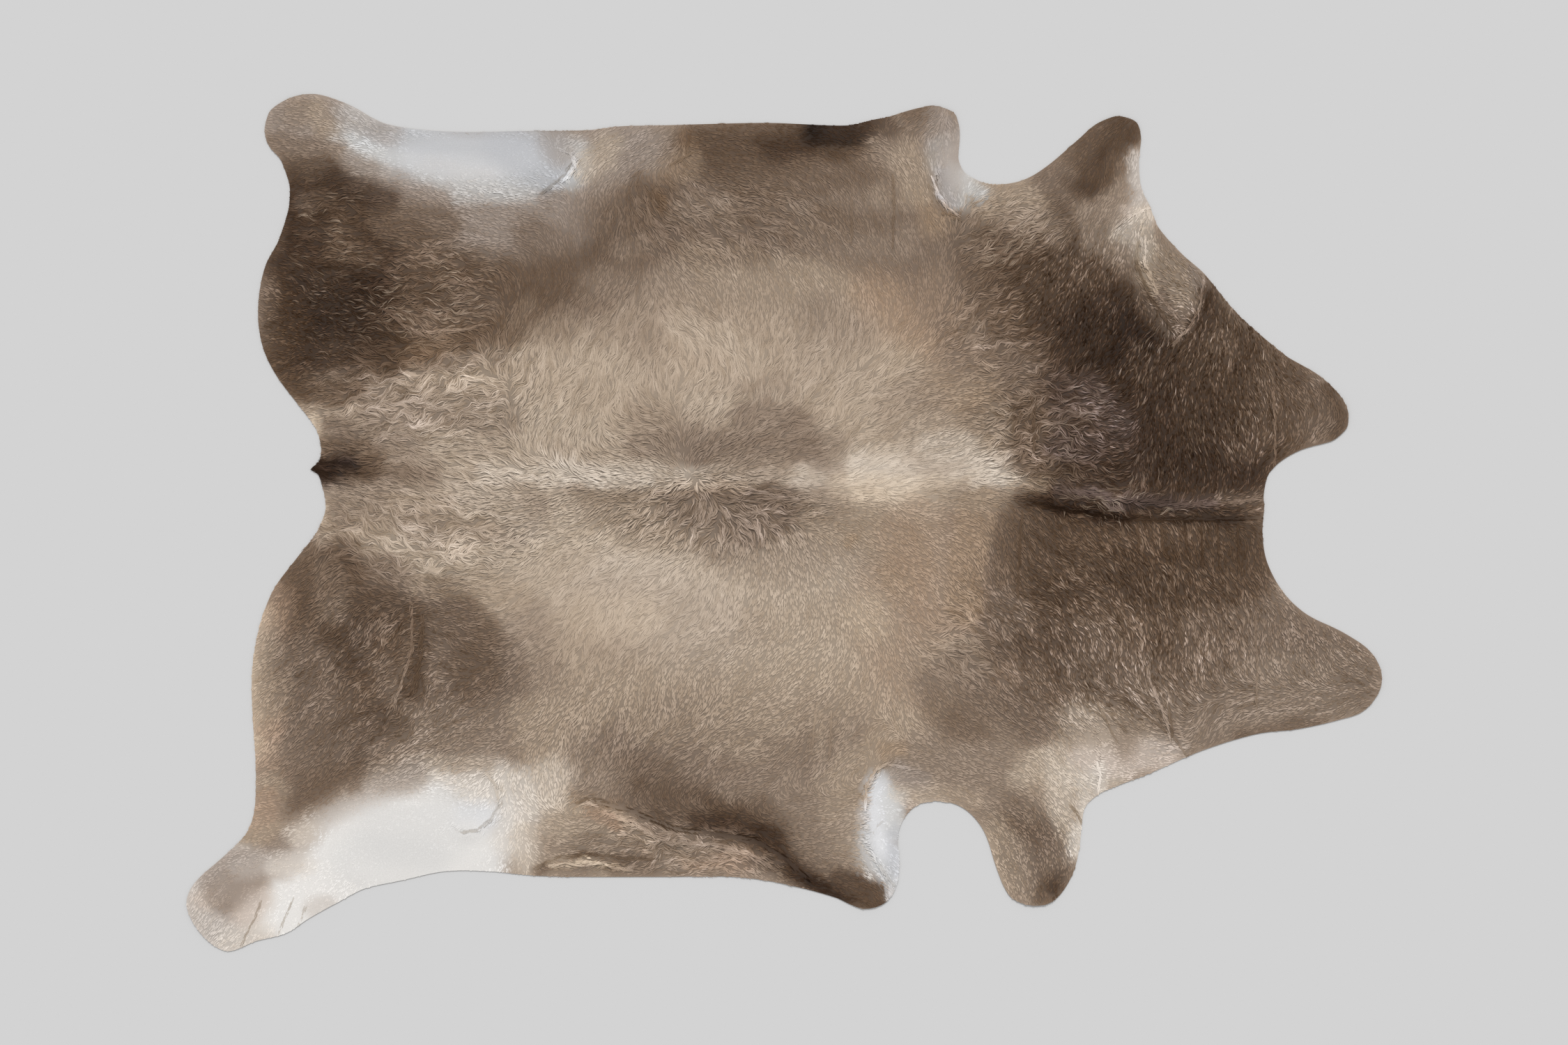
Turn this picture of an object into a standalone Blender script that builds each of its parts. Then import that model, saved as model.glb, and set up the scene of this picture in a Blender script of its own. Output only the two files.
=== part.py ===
"""A cowhide lying flat, hair side up: one skin with its coat, cut to its own outline.

X runs from tail to neck, Y across the back, Z up. The hide rests on Z = 0.
"""

import bpy
import numpy as np
from mathutils.geometry import delaunay_2d_cdt

# Sizes in millimetres
TRACE_STEP = 1.3
SKIN = 2.2
RIM_COAT = 0.9
RIM_WIDTH = 34.0
EDGE_PITCH = 23.0
RIM_INSET = 13.0
FOLD_PITCH = 20.0
BODY_PITCH = 37.0

SHARP_RIM = 0.9  # radians, so that the rim stays an edge and the folds are smooth

# The outline, the folds and the coat are traced on a sheet seen from above.
# One step of the sheet is TRACE_STEP of hide; x counts to the right and y down the sheet.
TRACE_MIDDLE = np.array((1125.0, 750.5))

# Each edge runs on from the one before, going round by the neck.
# Columns: x, y
UPPER_HIND_LEG = (
    (415, 296),
    (416, 270),
    (401, 227),
    (386, 210),
    (380, 188),
    (386, 163),
    (413, 143),
    (450, 135.5),
    (500, 150.5),
    (550, 177),
)
UPPER_BELLY = (
    (600, 186),
    (660, 190),
    (760, 188.5),
    (850, 187),
    (889, 182),
    (950, 180.5),
    (1100, 177),
    (1222, 180),
)
UPPER_FORELEG = (
    (1250, 173),
    (1274, 168.5),
    (1310, 157.5),
    (1345, 153),
    (1368, 162),
    (1377, 187),
    (1376, 232),
    (1384, 248),
    (1418, 264.5),
)
UPPER_SHANK = (
    (1465, 260),
    (1498, 242),
    (1550, 198),
    (1573, 178.5),
    (1606, 167.5),
    (1630, 176),
    (1637, 196),
    (1634.5, 230),
    (1637.5, 270),
    (1650, 297),
    (1661, 325),
)
UPPER_NECK = (
    (1700, 369),
    (1725, 390.5),
    (1775, 450.5),
    (1825, 495),
    (1850, 514.5),
    (1887, 535.5),
)
UPPER_LOBE = (
    (1916, 560.5),
    (1933, 588),
    (1931.5, 616),
    (1915, 631.5),
    (1867, 646.5),
    (1835, 665),
)
NECK_CUT = (
    (1818, 686),
    (1813, 712),
    (1814, 727),
    (1811.5, 760),
    (1817, 804),
    (1841, 850),
)
LOWER_LOBE = (
    (1874, 881.5),
    (1926, 907.5),
    (1965, 934.5),
    (1981, 963),
    (1979, 992),
    (1955, 1022),
    (1924, 1033),
)
LOWER_NECK = (
    (1862, 1047),
    (1806, 1053.5),
    (1726, 1077.5),
    (1650, 1110.5),
    (1575, 1141.5),
)
LOWER_SHANK = (
    (1557.5, 1158),
    (1552.5, 1180),
    (1549.5, 1212),
    (1542, 1247),
    (1527, 1277),
    (1507, 1296),
    (1480, 1300),
    (1450, 1288),
    (1432, 1253),
    (1412, 1194.5),
)
LOWER_ARMPIT = (
    (1389.5, 1166),
    (1363, 1152.5),
    (1325, 1152.5),
    (1301.5, 1169),
    (1289, 1198),
)
LOWER_FORELEG = (
    (1290.5, 1244),
    (1285, 1276),
    (1268, 1297.5),
    (1237, 1304.5),
    (1202, 1290),
    (1150, 1275),
)
LOWER_BELLY = (
    (1100, 1264.5),
    (1050, 1259),
    (940, 1259),
    (775, 1257.7),
    (700, 1251),
    (640, 1251),
    (575, 1264.5),
)
LOWER_HIND_LEG = (
    (522, 1276.5),
    (490, 1293),
    (440, 1321),
    (413, 1339),
    (364, 1352.5),
    (328, 1366),
    (300, 1352),
    (275, 1320),
    (268, 1294),
    (279, 1268.5),
    (324, 1227),
    (352, 1199),
    (364, 1170),
)
LOWER_RUMP = (
    (367.5, 1110),
    (363, 1030),
    (361.5, 975),
    (369, 915),
    (391, 850),
    (427.5, 799.5),
    (456, 762),
    (467.5, 730),
)
TAIL = (
    (463, 700),
    (457, 682),
    (446, 674),
    (458, 663),
    (461, 648),
    (455, 619),
)
UPPER_RUMP = (
    (425, 577.5),
    (399, 543),
    (379, 504),
    (370.5, 455),
    (376, 400),
    (385, 373),
    (398, 350),
)
OUTLINE = (
    UPPER_HIND_LEG + UPPER_BELLY + UPPER_FORELEG + UPPER_SHANK + UPPER_NECK + UPPER_LOBE
    + NECK_CUT + LOWER_LOBE + LOWER_NECK + LOWER_SHANK + LOWER_ARMPIT + LOWER_FORELEG
    + LOWER_BELLY + LOWER_HIND_LEG + LOWER_RUMP + TAIL + UPPER_RUMP
)

# Folds that lift the skin off the floor; the left side is the one on the left of the path's way.
# Columns: name, height, width to the left, width to the right, crest as (x, y) on the trace
FOLDS = (
    ("belly flap", 8.0, 15.0, 30.0, (
        (866, 1164), (905, 1182), (948, 1203), (1000, 1212), (1058, 1215), (1100, 1230), (1140, 1258),
    )),
    ("belly hem", 4.0, 13.0, 13.0, ((772, 1246), (806, 1240), (846, 1239), (886, 1244), (925, 1243))),
    ("lower udder pocket", 4.5, 14.0, 16.0, (
        (652, 1186), (669, 1196), (690, 1192), (708, 1178), (720, 1158), (716, 1132), (698, 1112),
    )),
    ("upper udder pocket", 4.0, 16.0, 16.0, ((774, 276), (800, 268), (820, 254), (828, 234), (818, 216))),
    ("upper armpit", 6.0, 15.0, 13.0, ((1350, 236), (1344, 256), (1345, 278), (1356, 296), (1372, 306))),
    ("lower armpit", 6.0, 14.0, 15.0, (
        (1272, 1262), (1254, 1232), (1243, 1204), (1243, 1168), (1247, 1130), (1262, 1104), (1282, 1092),
    )),
    ("upper shoulder", 7.0, 20.0, 15.0, (
        (1696, 486), (1676, 458), (1654, 424), (1639, 388), (1634, 356), (1638, 326), (1648, 308),
    )),
    ("neck pleat", 4.5, 13.0, 13.0, ((1678, 496), (1694, 476), (1710, 456), (1718, 432), (1722, 408))),
    ("lower shoulder", 4.0, 14.0, 13.0, ((1648, 986), (1666, 1014), (1679, 1042), (1695, 1062), (1701, 1078))),
    ("brisket", 4.0, 14.0, 14.0, ((1570, 1044), (1576, 1072), (1576, 1100), (1573, 1128))),
    ("spine", 6.0, 22.0, 17.0, (
        (1436, 716), (1492, 712), (1552, 712), (1612, 721), (1676, 727), (1738, 729), (1800, 732),
    )),
    ("upper rump wave", 2.2, 16.0, 16.0, ((538, 438), (572, 462), (604, 478), (648, 477))),
    ("lower thigh", 2.0, 20.0, 20.0, ((604, 846), (598, 900), (588, 950), (572, 1000), (556, 1036))),
)

# Slow swells where the skin doesn't lie quite tight to the floor, and the tips that curl a little.
# Columns: name, x, y, half length along x, half length along y, height
SWELLS = (
    ("upper shoulder", 1470, 500, 150, 95, 2.6),
    ("lower shoulder", 1450, 930, 150, 110, 2.4),
    ("upper rump", 500, 430, 100, 120, 2.0),
    ("lower rump", 500, 950, 110, 130, 2.2),
    ("upper flank", 960, 300, 190, 70, 1.6),
    ("lower flank", 980, 1110, 190, 55, 2.4),
    ("upper hind tip", 428, 160, 50, 42, 2.6),
    ("lower hind tip", 302, 1308, 52, 62, 3.0),
    ("upper fore tip", 1350, 168, 44, 40, 2.4),
    ("upper shank tip", 1610, 182, 48, 44, 2.8),
    ("lower fore tip", 1248, 1290, 46, 34, 2.4),
    ("lower shank tip", 1488, 1284, 48, 46, 2.8),
    ("upper neck tip", 1918, 594, 48, 52, 2.6),
    ("lower neck tip", 1966, 974, 54, 56, 2.8),
)

# How deep the coat lies over the skin: BASE_COAT, and more where these rows say.
# Columns: name, x, y, half length along x, half length along y, added depth
BASE_COAT = 1.9
COAT = (
    ("back", 900, 700, 420, 230, 3.0),
    ("loin crest", 760, 665, 240, 60, 1.0),
    ("whorl", 985, 690, 90, 60, -0.9),
    ("withers", 1500, 640, 230, 130, 2.2),
    ("tail root", 500, 665, 75, 60, 2.0),
    ("upper rump", 520, 430, 130, 110, 1.3),
    ("lower rump", 520, 900, 130, 130, 0.9),
    ("upper belly", 640, 225, 150, 40, -0.5),
    ("lower belly", 560, 1200, 150, 60, -0.4),
)

MM = 0.001

HAIR_COLOUR = (0.27, 0.205, 0.155, 1.0)
HAIR_ROUGHNESS = 0.7


def traced(rows):
    """Points of the trace as millimetres from the hide's middle."""
    return (np.array(rows, float) - TRACE_MIDDLE) * (TRACE_STEP, -TRACE_STEP)


def smooth_path(rows, pitch, closed=False):
    """Points about a pitch apart on a smooth line through every row."""
    knots = traced(rows)
    if closed:
        knots = np.vstack((knots[-1:], knots, knots[:2]))
    else:
        knots = np.vstack((2 * knots[:1] - knots[1:2], knots, 2 * knots[-1:] - knots[-2:-1]))
    points = []
    for before, start, end, after in zip(knots, knots[1:], knots[2:], knots[3:]):
        count = max(1, round(np.linalg.norm(end - start) / pitch))
        gap_in, gap, gap_out = (
            max(np.linalg.norm(b - a), 1.0) ** 0.5
            for a, b in ((before, start), (start, end), (end, after))
        )
        slope_in = (start - before) / gap_in - (end - before) / (gap_in + gap) + (end - start) / gap
        slope_out = (end - start) / gap - (after - start) / (gap + gap_out) + (after - end) / gap_out
        for step in range(count):
            t = step / count
            points.append(
                (2 * t**3 - 3 * t**2 + 1) * start
                + (t**3 - 2 * t**2 + t) * gap * slope_in
                + (3 * t**2 - 2 * t**3) * end
                + (t**3 - t**2) * gap * slope_out
            )
    if not closed:
        points.append(knots[-2])
    return np.array(points)


def nearest_on(path, points, closed=False):
    """Distance from each point to the path, the side it is on, and how far along it lies, 0 to 1."""
    ends = np.vstack((path, path[:1])) if closed else path
    start = ends[:-1]
    run = ends[1:] - start
    length = np.linalg.norm(run, axis=1)
    reach = points[:, None] - start[None]
    share = np.clip((reach * run).sum(2) / length**2, 0, 1)
    away = reach - share[..., None] * run
    distance = np.linalg.norm(away, axis=2)
    best = distance.argmin(1)
    rows = np.arange(len(points))
    side = np.sign(run[best, 0] * reach[rows, best, 1] - run[best, 1] * reach[rows, best, 0])
    along = np.concatenate(((0,), np.cumsum(length)))[best] + share[rows, best] * length[best]
    return distance[rows, best], side, along / length.sum()


def inside(outline, points):
    """Which points lie within the outline."""
    x, y = points[:, 0, None], points[:, 1, None]
    start, end = outline, np.roll(outline, -1, axis=0)
    crosses = (start[:, 1] > y) != (end[:, 1] > y)
    rise = np.where(end[:, 1] == start[:, 1], 1e-9, end[:, 1] - start[:, 1])
    at = start[:, 0] + (y - start[:, 1]) * (end[:, 0] - start[:, 0]) / rise
    return (crosses & (x < at)).sum(1) % 2 == 1


def soft(distance, width):
    """1 on the line and 0 at the width, level at both."""
    return np.cos(np.clip(distance / width, 0, 1) * np.pi) / 2 + 0.5


def mounds(rows, points):
    """The summed height of a table's soft round mounds at each point."""
    height = np.zeros(len(points))
    for _, x, y, half_x, half_y, peak in rows:
        reach = (points - traced((x, y))) / (half_x * TRACE_STEP, half_y * TRACE_STEP)
        height += peak * soft(np.linalg.norm(reach, axis=1), 1.0)
    return height


def fold_lift(points):
    height = np.zeros(len(points))
    for _, peak, left, right, crest in FOLDS:
        distance, side, along = nearest_on(smooth_path(crest, FOLD_PITCH / 2), points)
        fade = np.clip(np.minimum(along, 1 - along) / 0.2, 0, 1)
        ridge = peak * soft(distance, np.where(side > 0, left, right)) * (0.35 + 0.65 * fade)
        height = np.maximum(height, ridge)
    return height


def underside(points):
    return fold_lift(points) + mounds(SWELLS, points)


def thickness(points, from_edge):
    coat = BASE_COAT + mounds(COAT, points)
    return SKIN + RIM_COAT + (coat - RIM_COAT) * (1 - soft(from_edge, RIM_WIDTH))


def spread_points(outline):
    """Points inside the outline: a ring by the rim, five rows along each fold, and an even field."""
    low, high = outline.min(0), outline.max(0)
    rows = np.arange(low[1], high[1], BODY_PITCH * 3**0.5 / 2)
    columns = np.arange(low[0], high[0], BODY_PITCH)
    field = np.array([(x + (i % 2) * BODY_PITCH / 2, y) for i, y in enumerate(rows) for x in columns])

    tangent = np.roll(outline, -1, axis=0) - np.roll(outline, 1, axis=0)
    inward = np.column_stack((tangent[:, 1], -tangent[:, 0]))
    ring = outline + RIM_INSET * inward / np.linalg.norm(inward, axis=1)[:, None]

    kept = [(ring, RIM_INSET * 0.9, 0.0)]
    for _, _, left, right, crest in FOLDS:
        path = smooth_path(crest, FOLD_PITCH)
        way = np.gradient(path, axis=0)
        way /= np.linalg.norm(way, axis=1)[:, None]
        across = np.column_stack((-way[:, 1], way[:, 0]))
        offsets = (0.0, left / 2, left, -right / 2, -right)
        kept.append((np.vstack([path + offset * across for offset in offsets]), 6.0, 5.5))
    kept.append((field, RIM_INSET + BODY_PITCH * 0.45, BODY_PITCH * 0.55))

    found = np.empty((0, 2))
    for points, from_rim, apart in kept:
        points = points[inside(outline, points)]
        points = points[nearest_on(outline, points, closed=True)[0] >= from_rim]
        for point in points:
            if len(found) == 0 or np.linalg.norm(found - point, axis=1).min() >= max(apart, 5.5):
                found = np.vstack((found, point))
    return found


def make_hide():
    outline = smooth_path(OUTLINE, EDGE_PITCH, closed=True)
    count = len(outline)
    edges = [(i, (i + 1) % count) for i in range(count)]
    flat = np.vstack((outline, spread_points(outline)))
    verts, _, faces, *_ = delaunay_2d_cdt([tuple(p) for p in flat], edges, [], 1, 1e-4)
    flat = np.array([tuple(v) for v in verts])
    faces = [tuple(f) for f in faces]

    from_edge = nearest_on(outline, flat, closed=True)[0]
    low = underside(flat)
    high = low + thickness(flat, from_edge)
    points = np.vstack((np.column_stack((flat, low)), np.column_stack((flat, high)))) * MM

    total = len(flat)
    upper = [tuple(i + total for i in face) for face in faces]
    lower = [tuple(reversed(face)) for face in faces]
    rim = rim_walls(faces, total)
    mesh = bpy.data.meshes.new("hide")
    mesh.from_pydata([tuple(p) for p in points], [], upper + lower + rim)
    mesh.validate()
    mesh.shade_smooth()
    mesh.set_sharp_from_angle(angle=SHARP_RIM)
    mesh.materials.append(hair_material())
    hide = bpy.data.objects.new("hide", mesh)
    collection = bpy.data.collections.new("cowhide")
    bpy.context.scene.collection.children.link(collection)
    collection.objects.link(hide)


def rim_walls(faces, total):
    """A wall down from every upper edge that only one face uses."""
    uses = {}
    for face in faces:
        for a, b in zip(face, face[1:] + face[:1]):
            uses[(a, b)] = True
    return [(b + total, a + total, a, b) for a, b in uses if (b, a) not in uses]


def hair_material():
    material = bpy.data.materials.new("coat")
    material.use_nodes = True
    shader = material.node_tree.nodes["Principled BSDF"]
    shader.inputs["Base Color"].default_value = HAIR_COLOUR
    shader.inputs["Roughness"].default_value = HAIR_ROUGHNESS
    return material


def main():
    for leftover in list(bpy.data.objects):
        bpy.data.objects.remove(leftover)
    make_hide()


main()
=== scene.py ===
"""A cowhide lying flat on a pale floor, hair side up, seen from straight above."""

import bpy
import numpy as np
from mathutils.bvhtree import BVHTree
from mathutils.geometry import delaunay_2d_cdt
from mathutils.kdtree import KDTree
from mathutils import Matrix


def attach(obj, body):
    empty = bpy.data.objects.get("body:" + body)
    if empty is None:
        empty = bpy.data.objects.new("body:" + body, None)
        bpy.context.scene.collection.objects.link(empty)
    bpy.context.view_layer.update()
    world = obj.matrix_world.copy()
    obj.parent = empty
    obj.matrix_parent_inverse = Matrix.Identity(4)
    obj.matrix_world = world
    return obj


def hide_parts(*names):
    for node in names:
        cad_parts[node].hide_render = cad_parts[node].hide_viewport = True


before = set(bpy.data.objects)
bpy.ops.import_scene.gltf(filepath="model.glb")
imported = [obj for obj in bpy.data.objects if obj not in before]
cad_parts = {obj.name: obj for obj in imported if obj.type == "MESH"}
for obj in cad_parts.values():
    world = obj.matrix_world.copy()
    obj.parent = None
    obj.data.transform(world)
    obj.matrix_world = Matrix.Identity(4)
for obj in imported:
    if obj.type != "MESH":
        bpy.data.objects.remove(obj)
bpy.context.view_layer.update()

MM = 0.001

# Sizes of the skin and of the nets laid over it, in millimetres
SKIN_THICKNESS = 2.2
SKIN_INSET = 0.3
SKIN_PITCH = 16.0
RIM_PITCH = 7.0
EDGE_PITCH = 0.8
GRID_PITCH = 3.0
GUIDE_PITCH = 12.0
GRID_MARGIN = 60.0
ROW_STEP = 0.866

# Edges of the skin sharper than this, in radians, stay sharp.
SHARP_ANGLE = 0.8

# Faces of the solid that look up at least this much are its upper side.
LEAST_UPWARD = 0.3

# Grids end just short of their last line, and the lie is worked out for so many points at once.
GRID_END = 1.001
POINTS_AT_ONCE = 20000

# Tables are traced on a sheet seen from above: x counts to the right and y down the sheet.
TRACE_STEP = 1.3
TRACE_MIDDLE = np.array((1125.0, 750.5))

# How many meshes the hide's hair is shared between
COAT_PIECES = 5

# From paint to the light of single hairs; the skin is painted darker, as shade between the hairs, under deep
# coat than under smooth coat.
COAT_GAIN = 1.16
WHITE_HELD = 0.31
WARMTH = 1.11
MIDDLE_TONE = 0.3
DEPTH = 1.12
LIGHTEST = 0.92
DARKEST = 0.004
SUEDE_COLOUR = (0.46, 0.38, 0.29)
FLECK_COLOUR = (178, 161, 144)
SKIN_SHADE = 0.7
SMOOTH_SKIN = 1.06
RIM_SMOOTH = 0.8
SMOOTH_SHADE = 0.95

# Light and dark from hair to hair
TONE_TINT = (0.9, 1.0, 1.14)
TONE_LIMIT = 1.6
TONE_MIDDLE = 0.9
DARK_SHARE = 0.35
STREAK_LIMIT = 0.32
MOTTLE_SHARE = 0.3
# Painted shade that a crease puts on its hair, and painted highlight that a ridge puts on it, per millimetre
# of depth
CREASE_SHADE = 0.36
LIGHT_HELD = 0.9
COLOUR_FROM_ROOT = 0.4
COLOUR_SPREAD = 1.2
ROOT_TONE = 0.6

# The coat is smooth below the first contrast and full from the second on.
SMOOTH_CONTRAST = 0.02
FULL_CONTRAST = 0.16
LEAST_ROUGH = 0.12

# Where each layer grows
LONG_FROM = 14.0
LONG_FADE = 5.0
UNDER_THINNED = 0.6
SMOOTH_THINNED = 0.4
THINNED_BELOW = 0.05
ROOT_JITTER = 0.9
ROOT_FROM_EDGE = 1.0
HAIR_FROM_EDGE = 0.8
CREASE_LINE_FROM_EDGE = 2.0
CREASE_LINE_SPREAD = 0.3
FLECKS_EVEN = 0.6
FLECKS_CLUMPED = 1.4
FLECKS_MOST = 1.2

# How the hairs lie: heights and reaches in millimetres, the rest as shares
TIP_OVERHANG = 0.6
LEAST_FIT = 0.12
LEAST_HALF = 0.3
ROOT_SUNK = 0.3
TOP_RAISED = 1.0
LAYER_MIDDLE = 0.6
LAYER_TONE = 0.14
FLAT_RISE = 0.12
ROOT_RISE = 0.05
RISE_CURVE = 0.6
HAIR_TURN = 0.6
ROOT_TURN = 0.4

# Ranges drawn for each lock or hair, as shares
LOCK_LENGTH = (0.8, 1.15)
HAIR_LENGTH = (0.75, 1.1)
HAIR_CURL = (0.8, 1.2)
HAIR_WIDTH = (0.75, 1.25)
HAIR_LAYER = (-0.2, 0.2)
HAIR_PALE = (0.4, 1.2)

# From root to tip of a hair: the width as a share, and, at the share of the length, the painted shade at the
# root and the painted light along the rest
TAPER = ((0, 0.3, 1), (0.7, 1.0, 0.0))
TIP_LIGHT = ((0, 0.3, 0.7, 1), (-1.0, 0.1, 0.4, 0.0))

# Each ribbon has a cell of the UV sheet: its two sides, the rim left free, and cells across for each line.
RIBBON_SIDES = (0.12, 0.88)
CELL_RIM = 0.06
CELL_SHAPE = 6

# Noise over the hide. Columns: reach, size in millimetres, seed
NOISE_CELLS = 128
WARP_ALONG = ((7.0, 34.0, 11), (3.0, 13.0, 13))
WARP_ACROSS = ((7.0, 34.0, 12), (3.0, 13.0, 14))
SWAY = ((1.5, 11.0, 15), (0.7, 6.05, 16))
CLUMPS = ((1.0, 48.0, 17), (0.5, 16.0, 18))
STREAK = ((1.0, 5.0, 19),)
MOTTLE = ((1.0, 17.0, 20), (1.0, 44.2, 21))
STREAK_STEPS = 6
STREAK_STRIDE = 1
MOTTLE_STRIDE = 3

# How each layer of the coat grows: distances in millimetres, turn and roll in radians, the rest as shares.
# In each style, root sets the painted shade at a hair's root and the painted light along it, and
# layer_shading is painted shade on the under layer, below 0, and painted light on the layers above, above 0.
UNDER = {
    "root_seed": 31, "hair_seed": 41,
    "pitch": 7.8, "strands": 3, "steps": 2, "length": 1.0, "longest": 20.0, "spread": 4.6,
    "turn": 0.08, "gather": 0.3, "curl": 1.0, "width": 2.9, "roll": 0.2, "lift": 0.0,
    "lock_tone": 0.25, "hair_tone": 0.75, "streak": 0.9, "root": 0.3, "layer_shading": -0.2, "pale": 0.0,
}
LOCKS = {
    "root_seed": 32, "hair_seed": 42,
    "pitch": 9.3, "strands": 3, "steps": 8, "length": 1.0, "longest": 60.0, "spread": 5.4,
    "turn": 0.08, "gather": 0.6, "curl": 1.0, "width": 2.5, "roll": 0.25, "lift": 0.12,
    "lock_tone": 0.3, "hair_tone": 0.9, "streak": 0.8, "root": 0.4, "layer_shading": 0.1, "pale": 0.0,
}
FLECKS = {
    "root_seed": 33, "hair_seed": 43,
    "pitch": 9.0, "strands": 2, "steps": 7, "length": 1.6, "longest": 60.0, "spread": 2.6,
    "turn": 0.14, "gather": 0.6, "curl": 1.0, "width": 2.0, "roll": 0.25, "lift": 0.3,
    "lock_tone": 0.3, "hair_tone": 0.6, "streak": 0.3, "root": 0.6, "layer_shading": 0.1, "pale": 1.0,
}
# Hairs laid along the creases: painted darker as shade in each crease and lighter as highlight on each ridge
CREASE_SHADE_AND_LIGHT = {
    "root_seed": 34, "hair_seed": 44,
    "pitch": 1.6, "strands": 1, "steps": 5, "length": 1.5, "longest": 16.0, "spread": 0.0,
    "turn": 0.12, "gather": 0.0, "curl": 0.3, "width": 2.2, "roll": 0.1, "lift": 0.4,
    "lock_tone": 0.2, "hair_tone": 0.3, "streak": 0.0, "root": 0.0, "layer_shading": 0.0, "pale": 0.0,
}

# Studio: metres and degrees
FLOOR_SIZE = 40.0
FLOOR_SHADE = 0.507
SKY_STRENGTH = 0.75
KEY_STRENGTH = 2.26
KEY_ELEVATION = 48.0
KEY_SPREAD = 24.0
CAMERA_HEIGHT = 4.0625
LENS = 50.0
SENSOR = 36.0
CAMERA_REACH = 50.0

# Display colours of the hair, 0 to 255
COLOURS = {
    "black": (36, 28, 23),
    "black brown": (50, 38, 30),
    "char": (58, 48, 43),
    "dark umber": (68, 54, 44),
    "umber": (84, 69, 57),
    "bistre": (78, 62, 49),
    "slate": (94, 81, 75),
    "brown": (104, 88, 75),
    "rust": (112, 80, 50),
    "bronze": (118, 99, 83),
    "taupe": (122, 107, 95),
    "dun": (140, 125, 112),
    "ash": (150, 138, 129),
    "honey": (152, 132, 113),
    "rose dun": (158, 136, 119),
    "sand": (160, 144, 128),
    "wheat": (170, 149, 124),
    "pale sand": (178, 163, 147),
    "tan": (198, 180, 160),
    "blush": (196, 182, 171),
    "cream": (196, 183, 169),
    "ash cream": (188, 179, 171),
    "cool grey": (176, 177, 180),
    "silver": (198, 197, 195),
    "ivory": (213, 203, 192),
    "cool white": (219, 219, 221),
    "white": (226, 222, 217),
}
GROUND_COLOUR = "dun"
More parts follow.
